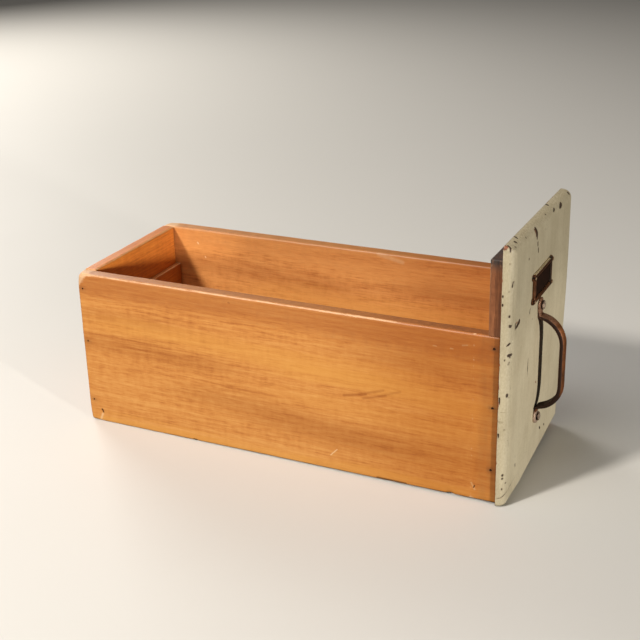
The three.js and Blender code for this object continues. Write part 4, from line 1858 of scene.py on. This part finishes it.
@dataclass
class Fasteners:
    """A set of like fasteners: where each one's seat is, and which way its head faces."""

    name: str
    kind: FastenerKind
    slot: str
    finish: MetalFinish
    nodes: tuple[str, ...]
    head_radius: float
    head_height: float
    shank_radius: float
    depth: float
    lean: float = 0.03
    roll: float = 3.1
    spread: float = 0.0
    seed: int = 4
    slot_width: float = 1.0
    slot_depth: float = 1.1
    sink: float = 0.0
    shine: float = 0.5
    rear_size: float = 1.0
    head_steps: int = 32
    dome_steps: int = 8
    dome_rim: float = 0.35
    bump_share: float = 0.02
    crisp_angle: float = 40.0

    def pattern(self) -> Piece:
        """Makes one fastener with its seat at the origin and its head up.

        Returns:
            The fastener's object.
        """
        wide, tall = self.head_radius, self.head_height
        if self.kind is FastenerKind.NAIL:
            head = [(wide * share, tall - drop) for share, drop in NAIL_HEAD]
        else:
            angles = np.linspace(0, math.pi / 2, self.dome_steps + 1)[:-1]
            rim = self.dome_rim
            head = [(wide * math.sin(angle), rim + (tall - rim) * math.cos(angle))
                    for angle in angles] + [(wide, 0.3)]
        shank = [(wide, 0.05), (wide - 0.08, 0.0), (self.shank_radius, -0.01),
                 (self.shank_radius, self.shank_radius - self.depth), (0, -self.depth)]
        piece = turned("pattern", head + shank, self.head_steps)
        if self.kind is FastenerKind.SCREW:
            reach = wide + 1.0
            groove = plain_box(
                "slot", (-reach, -self.slot_width / 2, tall - self.slot_depth),
                (reach, self.slot_width / 2, tall + 1.0))
            combine(piece, groove, Change.CUT)
        spots = points_of(piece)
        bumps = grain_noise(spots, (0.9, 0.9, 0.9), 2.0)
        dented = spots * (1 - self.bump_share * (1 + bumps[:, None]) * (spots[:, 2:3] > 0.1))
        move_points(piece, dented)
        top = smooth(spots[:, 2], tall * 0.25, tall * 0.8)
        store(piece, "rub", self.shine * top)
        store(piece, "grime", 0.9 * (1 - smooth(spots[:, 2], 0.1, tall * 0.4)))
        shade(piece, self.crisp_angle)
        return piece

    def seats(self) -> tuple[np.ndarray, np.ndarray]:
        """Where each fastener's head meets what it holds, and which way its head faces.

        Returns:
            The seats and the directions, one row each.
        """
        seats, facings = [], []
        for node in self.nodes:
            low, high = node_box(node)
            middle = (low + high) / 2
            if self.kind is FastenerKind.NAIL:
                hand = -1.0 if middle[0] < 0 else 1.0
                outermost = low[0] if hand < 0 else high[0]
                seats.append((outermost - hand * (self.head_height + self.sink), middle[1],
                              middle[2]))
                facings.append((hand, 0.0, 0.0))
            else:
                seats.append((middle[0], low[1] + self.head_height + self.sink, middle[2]))
                facings.append((0.0, -1.0, 0.0))
        return np.array(seats), np.array(facings)

    def build(self, tree: Tree) -> Piece:
        """Sets the fasteners, dresses them and reports them.

        Args:
            tree: the tree that sets fasteners on points.

        Returns:
            The finished piece.
        """
        pattern = self.pattern()
        seats, facings = self.seats()
        piece = mesh_object(self.name, seats, [])
        store(piece, "facing", facings)
        store(piece, "size", np.where(seats[:, 1] > 0, self.rear_size, 1.0))
        run_tree(piece, tree, {
            "Fastener": pattern, "Lean": self.lean, "Roll": self.roll,
            "Size Spread": self.spread, "Seed": self.seed, "Material": self.finish.build()})
        bpy.data.objects.remove(pattern)
        shade(piece, self.crisp_angle)
        hand_over(piece, list(self.nodes))
        return piece


# Studio


def direction(azimuth: float, elevation: float) -> Vector:
    """Works out the way from the drawer to something that looks at it.

    Args:
        azimuth: degrees; 0 is straight in front and -90 is to the left.
        elevation: degrees above the floor.

    Returns:
        The direction, of length 1.
    """
    turn, rise = math.radians(azimuth), math.radians(elevation)
    return Vector((math.sin(turn) * math.cos(rise), -math.cos(turn) * math.cos(rise),
                   math.sin(rise)))


@dataclass(frozen=True)
class Lamp:
    """A square soft light that looks at the drawer from some way off."""

    name: str
    azimuth: float
    elevation: float
    power: float
    size: float
    distance: float = 1.6
    target: Place = (0.0, 0.0, 0.09)
    colour: tuple[float, float, float] = (1.0, 1.0, 1.0)
    spread: float = 180.0

    def place(self) -> None:
        """Puts the light in the scene."""
        light = bpy.data.lights.new(self.name, "AREA")
        light.energy, light.size, light.color = self.power, self.size, self.colour
        light.spread = math.radians(self.spread)
        made = bpy.data.objects.new(self.name, light)
        away = direction(self.azimuth, self.elevation)
        made.location = Vector(self.target) + away * self.distance
        made.rotation_euler = away.to_track_quat("Z", "Y").to_euler()
        bpy.context.scene.collection.objects.link(made)


@dataclass
class Studio:
    """Floor, lights and camera."""

    floor_colour: Colour = srgb(214, 211, 205)
    floor_span: float = 14000.0
    floor_gap: float = 0.02
    front_foot: Span = (-184.0, 0.0)
    rear_foot: Span = (214.0, 2.0)
    camera_place: Place = (-0.92365, -0.43678, 0.53084)
    camera_azimuth: float = -64.118
    camera_elevation: float = 22.578
    camera_roll: float = -1.625
    lens: float = 68.83
    view_span: Span = (0.05, 60.0)
    ambient: float = 0.03

    def floor(self) -> None:
        """Lays the floor under the front's bottom edge and the rear of the sides."""
        (y0, z0), (y1, z1) = self.front_foot, self.rear_foot
        slope = (z1 - z0) / (y1 - y0)
        reach = self.floor_span / 2
        corners = [(x, y, z0 + (y - y0) * slope - self.floor_gap)
                   for x, y in ((-reach, -reach), (reach, -reach), (reach, reach),
                                (-reach, reach))]
        made = mesh_object("floor", np.array(corners), [(0, 1, 2, 3)])
        made.data.materials.append(FloorFinish("Pale floor", self.floor_colour).build())
        made.visible_diffuse = made.visible_glossy = False

    def lights(self) -> None:
        """Sets the lamps and the even light all round."""
        for lamp in (
                Lamp("front_left_lamp", -25.5, 6.0, 8.3, 0.185, distance=4.0,
                     colour=(1.0, 0.97, 0.92), spread=50.0),
                Lamp("rear_left_lamp", -116.0, 33.6, 60.0, 0.26, distance=2.4,
                     target=(0.0, 0.03, 0.09), colour=(1.0, 0.95, 0.88)),
                Lamp("high_soft_lamp", -105.0, 68.0, 11.0, 0.9, distance=2.0),
                Lamp("rear_right_lamp", 146.0, 24.0, 34.0, 1.0, distance=2.6,
                     colour=(1.0, 0.96, 0.90))):
            lamp.place()
        world = bpy.data.worlds.new("Even light")
        world.use_nodes = True
        sky = world.node_tree.nodes["Background"]
        sky.inputs["Color"].default_value = (1.0, 0.94, 0.86, 1.0)
        sky.inputs["Strength"].default_value = self.ambient
        bpy.context.scene.world = world

    def camera(self) -> None:
        """Sets the camera at the photograph's viewing angle."""
        data = bpy.data.cameras.new("camera")
        data.lens, (data.clip_start, data.clip_end) = self.lens, self.view_span
        made = bpy.data.objects.new("camera", data)
        back = direction(self.camera_azimuth, self.camera_elevation)
        roll = math.radians(self.camera_roll)
        made.location = self.camera_place
        level = (-back).to_track_quat("-Z", "Y").to_matrix()
        made.rotation_euler = (level @ Matrix.Rotation(roll, 3, "Z")).to_euler()
        bpy.context.scene.collection.objects.link(made)
        bpy.context.scene.camera = made

    def build(self) -> None:
        """Sets up the whole studio."""
        self.floor()
        self.lights()
        self.camera()
        bpy.context.scene.view_settings.view_transform = "Standard"


# The drawer


def marks(colour: Colour, *rows: tuple[float, ...]) -> tuple[Mark, ...]:
    """Marks from rows of start and end along and across, radius, softness and strength."""
    return tuple(Mark((a0, c0), (a1, c1), radius, softness, colour, strength)
                 for a0, c0, a1, c1, radius, softness, strength in rows)


def knocks(*rows: tuple[float, ...]) -> tuple[Knock, ...]:
    """Knocks from rows of X, Y and Z, reach and depth."""
    return tuple(Knock((x, y, z), reach, depth) for x, y, z, reach, depth in rows)


def strokes(*rows: tuple[float, ...]) -> tuple[Chip, ...]:
    """Chips from rows of start X and Z, end X and Z, and the two radii."""
    return tuple(Chip((x0, z0), (x1, z1), r0, r1) for x0, z0, x1, z1, r0, r1 in rows)


GOLDEN = srgb(220, 155, 74)
UMBER = srgb(154, 86, 34)
PALE_SCRATCH = srgb(240, 206, 160)
NICK = srgb(70, 38, 20)

NEAR_TONES = marks(
    UMBER,
    (200.0, 84.0, 110.0, 80.0, 1.0, 13.0, 0.3), (200.0, 112.0, 150.0, 110.0, 1.0, 10.0, 0.25),
    (60.0, 50.0, -40.0, 36.0, 1.0, 16.0, 0.28), (-110.0, 118.0, -200.0, 108.0, 1.0, 17.0, 0.26),
    (-60.0, 38.0, -190.0, 46.0, 4.0, 20.0, 0.14),
) + marks(
    GOLDEN,
    (190.0, 5.0, -170.0, 5.0, 1.0, 9.0, 0.5), (150.0, 102.0, -60.0, 98.0, 1.0, 16.0, 0.42),
    (-20.0, 90.0, -150.0, 86.0, 1.0, 13.0, 0.4), (-30.0, 66.0, -150.0, 60.0, 1.0, 14.0, 0.2),
)
NEAR_MARKS = marks(
    UMBER,
    (-48.0, 75.5, -68.0, 80.0, 0.1, 2.0, 0.55), (-62.0, 79.0, -84.0, 86.5, 0.1, 1.8, 0.4),
    (-66.0, 76.0, -86.0, 82.0, 0.1, 1.8, 0.4), (-80.0, 80.5, -99.0, 88.0, 0.1, 2.0, 0.3),
) + marks(
    NICK, (203.6, 14.4, 202.4, 11.6, 0.5, 0.6, 0.95),
) + marks(
    PALE_SCRATCH,
    (203.4, 9.6, 206.0, 3.6, 0.2, 1.6, 0.5), (-40.5, 22.0, -34.3, 15.5, 0.25, 0.4, 0.6),
    (-152.0, 138.4, -156.0, 139.2, 0.35, 0.6, 0.6),
    (-127.5, 134.5, -130.0, 134.5, 0.3, 0.5, 0.5),
    (-142.0, 134.3, -144.0, 134.3, 0.3, 0.5, 0.6), (-162.0, 16.5, -165.0, 11.0, 0.2, 1.2, 0.45),
) + marks(
    NICK,
    (-164.8, 14.5, -164.0, 12.5, 0.35, 0.4, 0.85), (-78.0, 3.2, -104.0, 3.0, 0.4, 0.8, 0.6),
    (104.0, 2.8, 101.0, 2.8, 0.5, 0.6, 0.75), (59.5, 143.8, 58.5, 143.6, 0.4, 0.5, 0.55),
)
FAR_TONES = (
    marks(UMBER, (170.0, 116.0, 60.0, 108.0, 1.0, 15.0, 0.35))
    + marks(GOLDEN, (60.0, 92.0, -80.0, 88.0, 1.0, 18.0, 0.4))
    + marks(UMBER, (-90.0, 118.0, -190.0, 110.0, 1.0, 16.0, 0.45))
)
FAR_MARKS = marks(
    PALE_SCRATCH,
    (-18.0, 148.5, -42.0, 143.5, 0.4, 2.8, 0.32), (178.0, 136.0, 177.0, 135.0, 0.4, 0.6, 0.7),
    (170.0, 122.0, 169.5, 121.0, 0.3, 0.5, 0.6),
)
NEAR_SIDE = WoodFinish(
    "Near side wood", Grain.ALONG_DRAWER, srgb(222, 158, 87), srgb(205, 135, 68),
    srgb(167, 96, 44), band=(122.0, 134.0), band_strength=0.52, seed=0.3, tones=NEAR_TONES,
    marks=NEAR_MARKS, marked_face=(-77.0, -79.0))
FAR_SIDE = WoodFinish(
    "Far side wood", Grain.ALONG_DRAWER, srgb(228, 160, 90), srgb(213, 143, 77),
    srgb(174, 103, 48), band=(120.0, 146.0), band_strength=0.3, seed=2.7,
    pith=(-150.0, 40.0), tones=FAR_TONES, marks=FAR_MARKS, marked_face=(71.0, 69.0))
BACK_WOOD = WoodFinish(
    "Back wood", Grain.ACROSS_DRAWER, srgb(229, 143, 57), srgb(207, 118, 42),
    srgb(168, 86, 29), seed=4.1, bare=srgb(200, 154, 106))
LINER_WOOD = WoodFinish(
    "Liner wood", Grain.ACROSS_DRAWER, srgb(216, 139, 68), srgb(194, 117, 52),
    srgb(156, 85, 37), seed=6.4)
PANEL_WOOD = WoodFinish(
    "Bottom wood", Grain.FLAT, srgb(206, 158, 104), srgb(188, 136, 82), srgb(150, 100, 56),
    seed=8.8, ring_gap=6.0)
TONGUE_WOOD = WoodFinish(
    "Tongue wood", Grain.UPRIGHT, srgb(152, 96, 58), srgb(122, 72, 40), srgb(76, 42, 23),
    seed=5.6, roughness=0.58, bare=srgb(166, 122, 88), dirt=srgb(56, 44, 37))
SAGE_CREAM = PaintFinish(
    "Sage cream paint", srgb(226, 212, 179), srgb(194, 179, 146), srgb(156, 96, 68),
    srgb(56, 38, 22), srgb(130, 114, 86))
# The worn colour also paints the strap's highlights, and the deep colour its shade.
COPPER_BROWN = MetalFinish(
    "Copper brown strap", srgb(166, 100, 53), srgb(50, 28, 14), srgb(200, 170, 146),
    roughness=0.5, metallic=0.4)
# The worn colour also paints the holder's top-edge highlight, and the deep colour its shade.
LABEL_BROWN = MetalFinish(
    "Copper brown holder", srgb(134, 82, 48), srgb(48, 32, 18), srgb(214, 194, 154),
    grain=1.4, metallic=0.5)
SCREW_STEEL = MetalFinish(
    "Worn screw steel", srgb(156, 124, 100), srgb(48, 34, 25), srgb(222, 198, 172),
    grain=1.2, roughness=0.5, metallic=0.5)
NAIL_IRON = MetalFinish(
    "Dark nail iron", srgb(66, 38, 22), srgb(36, 22, 14), srgb(84, 56, 38),
    grain=0.8, roughness=0.68, metallic=0.35)
DARK_CARD = CardFinish("Dark card", srgb(48, 28, 17), srgb(22, 13, 7))

CHIPS = strokes(
    (-79.2, 197.3, -80.1, 192.8, 0.5, 0.3), (-81.6, 189.6, -81.6, 189.4, 0.5, 0.4),
    (-81.2, 169.2, -81.2, 168.8, 0.8, 0.8), (-81.3, 161.6, -80.5, 159.9, 0.4, 0.6),
    (-80.5, 159.9, -79.4, 161.7, 0.6, 0.3), (-64.4, 159.0, -71.8, 157.2, 1.9, 1.3),
    (-74.8, 160.8, -75.0, 156.1, 0.8, 0.4), (-34.5, 158.6, -35.1, 154.5, 0.5, 0.5),
    (-26.8, 146.6, -26.8, 146.4, 0.4, 0.4), (-81.8, 144.4, -80.4, 146.2, 0.3, 0.7),
    (-80.8, 136.1, -78.8, 136.6, 1.1, 0.8), (-80.7, 135.9, -80.0, 134.3, 0.8, 0.4),
    (-82.4, 132.4, -82.4, 132.2, 0.5, 0.5), (-80.4, 130.3, -80.6, 128.2, 0.4, 0.5),
    (-80.9, 102.3, -80.9, 100.8, 0.8, 0.7), (-79.5, 99.7, -79.5, 99.5, 0.3, 0.3),
    (-81.6, 71.4, -81.6, 71.2, 0.5, 0.5), (-79.3, 61.4, -79.3, 61.2, 0.3, 0.3),
    (-60.3, 30.5, -60.0, 28.0, 0.5, 0.5), (-61.2, 37.7, -61.2, 37.5, 0.3, 0.3),
    (-81.7, 30.2, -81.7, 29.8, 0.7, 0.7), (-81.8, 26.9, -81.8, 26.5, 0.7, 0.6),
    (-79.7, 22.5, -79.7, 22.2, 0.5, 0.4), (-81.9, 17.3, -81.9, 16.9, 0.5, 0.5),
    (-78.6, 225.4, -81.0, 224.2, 0.5, 0.6), (-81.0, 224.2, -81.6, 221.8, 0.6, 0.6),
    (-66.9, 224.8, -66.5, 224.4, 1.0, 0.9), (-57.0, 225.5, -59.2, 225.1, 0.7, 0.6),
    (-48.2, 222.7, -48.0, 222.3, 0.4, 0.4), (-73.8, 223.2, -73.5, 223.0, 0.6, 0.6),
    (-81.6, 212.1, -81.6, 211.7, 0.4, 0.4), (76.9, 223.6, 76.6, 222.4, 0.9, 0.9),
    (50.5, 221.6, 47.5, 220.6, 1.3, 1.5), (47.5, 220.6, 43.5, 219.9, 1.5, 0.7),
    (31.5, 225.5, 30.0, 225.3, 1.0, 0.7), (32.1, 222.2, 28.0, 221.2, 0.8, 0.5),
    (10.9, 223.7, 10.5, 223.5, 0.6, 0.5), (2.1, 214.2, 2.0, 214.0, 0.4, 0.4),
    (-22.6, 222.0, -22.8, 217.5, 1.3, 2.0), (-22.8, 217.5, -22.1, 213.6, 2.0, 0.7),
    (-19.8, 209.9, -19.2, 207.4, 0.8, 0.9), (-17.8, 204.2, -17.1, 200.8, 0.8, 0.5),
    (-43.2, 203.8, -43.2, 203.5, 0.7, 0.7),
    (14.7, 26.1, 18.0, 22.9, 0.6, 0.8), (30.7, 20.0, 32.5, 18.6, 0.6, 0.6),
    (-83.0, 99.2, -83.0, 94.0, 0.45, 0.25), (-83.0, 67.2, -83.0, 64.2, 0.45, 0.3),
    (-83.0, 186.0, -83.0, 184.4, 0.4, 0.2), (-83.0, 179.0, -83.0, 177.6, 0.4, 0.45),
)
CRACKS = strokes(
    (-33.8, 115.0, -34.3, 105.9, 0.3, 0.7), (-34.3, 105.9, -35.0, 98.6, 0.7, 0.3),
    (-83.0, 7.8, -81.8, 9.4, 0.35, 0.35), (-81.8, 9.4, -79.4, 13.0, 0.35, 0.3),
    (-79.4, 13.0, -75.4, 16.2, 0.3, 0.22), (-75.4, 16.2, -64.4, 17.4, 0.22, 0.12),
    (-64.4, 17.4, -50.2, 17.0, 0.12, -0.05), (-83.0, 79.0, -82.1, 79.2, 0.12, 0.05),
    (-83.0, 77.3, -82.2, 77.5, 0.12, 0.05), (-82.9, 87.0, -81.3, 86.9, 0.12, 0.05),
)
LEFT_DENTS = knocks(
    (-80.5, 204.2, 12.2, 1.3, 0.7), (-80.5, 59.0, 143.7, 1.0, 0.5),
    (-80.5, -129.5, 135.0, 0.9, 0.4), (-80.5, -153.0, 138.7, 0.9, 0.4),
    (-80.5, -161.8, 13.4, 1.4, 0.6), (-80.5, -143.7, 2.0, 2.2, 1.2),
)
RIGHT_DENTS = knocks((80.5, 40.0, 2.0, 2.0, 1.0), (68.0, 150.0, 140.0, 1.1, 0.4))
BARE_CORNER = strokes(
    (-83.6, 224.0, -80.4, 225.4, 1.6, 1.4), (-83.2, 223.2, -82.8, 224.2, 0.8, 1.0),
    (-8.3, 82.1, -6.3, 80.7, 0.8, 0.6), (-25.2, 221.4, -24.6, 217.0, 1.5, 1.1),
    (-73.0, 161.0, -70.0, 160.6, 0.7, 0.5),
)


def nail_nodes() -> list[str]:
    """Names of the nails' CAD nodes."""
    return sorted(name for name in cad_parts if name.startswith("nail_"))


def nail_spots(hand: int) -> tuple[Span, ...]:
    """Where the nails go through one side, in Y and Z.

    Args:
        hand: -1 for the left side, 1 for the right.

    Returns:
        The places.
    """
    spots = []
    for name in nail_nodes():
        low, high = node_box(name)
        middle = (low + high) / 2
        if middle[0] * hand > 0:
            spots.append((float(middle[1]), float(middle[2])))
    return tuple(spots)


@dataclass
class DrawerBox:
    """The open box behind the front: sides, back, liner and bottom."""

    side_radius: float = 1.9
    corner_reach: float = 9.0
    upper_corner_wear: float = 3.5
    lower_corner_wear: float = 1.6

    def corners(self, x: float) -> tuple[Knock, ...]:
        """The rounded rear corners of a side at X."""
        return knocks((x, REAR_END, 150.0, self.corner_reach, self.upper_corner_wear),
                      (x, REAR_END, 2.0, self.corner_reach, self.lower_corner_wear))

    def build(self) -> None:
        """Builds every board of the box."""
        SideBoard("worn_left_side", "left_side", "side_wood", NEAR_SIDE,
                  upper_radius=self.side_radius, corners=self.corners(-BOX_HALF),
                  dents=LEFT_DENTS, nail_holes=nail_spots(-1), seed=1.3).build()
        SideBoard("worn_right_side", "right_side", "side_wood", FAR_SIDE, hand=1,
                  upper_radius=self.side_radius, corners=self.corners(BOX_HALF),
                  dents=RIGHT_DENTS, nail_holes=nail_spots(1), seed=3.9,
                  top_rub=0.30).build()
        Board("worn_back_board", "back_board", "inner_wood", BACK_WOOD,
              upper_radius=self.side_radius, seed=2.2, top_rub=0.34).build()
        Board("thin_back_liner", "back_liner", "inner_wood", LINER_WOOD, lower_radius=0.6,
              upper_radius=0.9, sway=0.25, spacing=2.0,
              grade=(0.0, 0.3, 0.8, 1.5), seed=5.1, top_rub=0.26).build()
        Board("drawer_bottom", "bottom_panel", "panel_wood", PANEL_WOOD, lower_radius=0.5,
              upper_radius=0.5, sway=0.1, spacing=4.0, grade=(0.0, 0.3, 0.8, 2.0),
              seed=6.2).build()


@dataclass
class DrawerFront:
    """The tall front with its pull, label holder and their fasteners."""

    def build(self) -> None:
        """Builds the two layers of the front and the metalwork on it."""
        PaintedLip(SAGE_CREAM, chips=CHIPS, cracks=CRACKS, bare_corner=BARE_CORNER).build()
        Tongue("bare_tongue", "front_board", "side_wood", TONGUE_WOOD, lower_radius=0.6,
               upper_radius=0.9, sway=0.15, seed=7.7).build()
        bar, fix = bar_tree(), fastener_tree()
        StrapPull(COPPER_BROWN).build(bar)
        holder = LabelHolder(LABEL_BROWN)
        holder.build(bar)
        holder.build_card(DARK_CARD)
        Fasteners("pull_screws", FastenerKind.SCREW, "screw_metal", SCREW_STEEL,
                  ("pull_screw_1", "pull_screw_2"), 4.0, 2.0, 1.9, 14.0, sink=0.3,
                  shine=0.65).build(fix)
        Fasteners("label_pins", FastenerKind.PIN, "label_metal", LABEL_BROWN,
                  tuple(f"label_pin_{number}" for number in range(1, 5)),
                  1.7, 1.0, 0.7, 7.0, seed=11).build(fix)
        Fasteners("sunk_nails", FastenerKind.NAIL, "nail_metal", NAIL_IRON,
                  tuple(nail_nodes()), 1.1, 1.0, 0.9, 32.0, spread=0.06, seed=2,
                  shine=0.2, rear_size=0.78).build(fix)


def main() -> None:
    """Builds the drawer and its studio."""
    logging.basicConfig(level=logging.INFO, format="%(message)s")
    DrawerBox().build()
    DrawerFront().build()
    Studio().build()


if __name__ == "__main__":
    main()
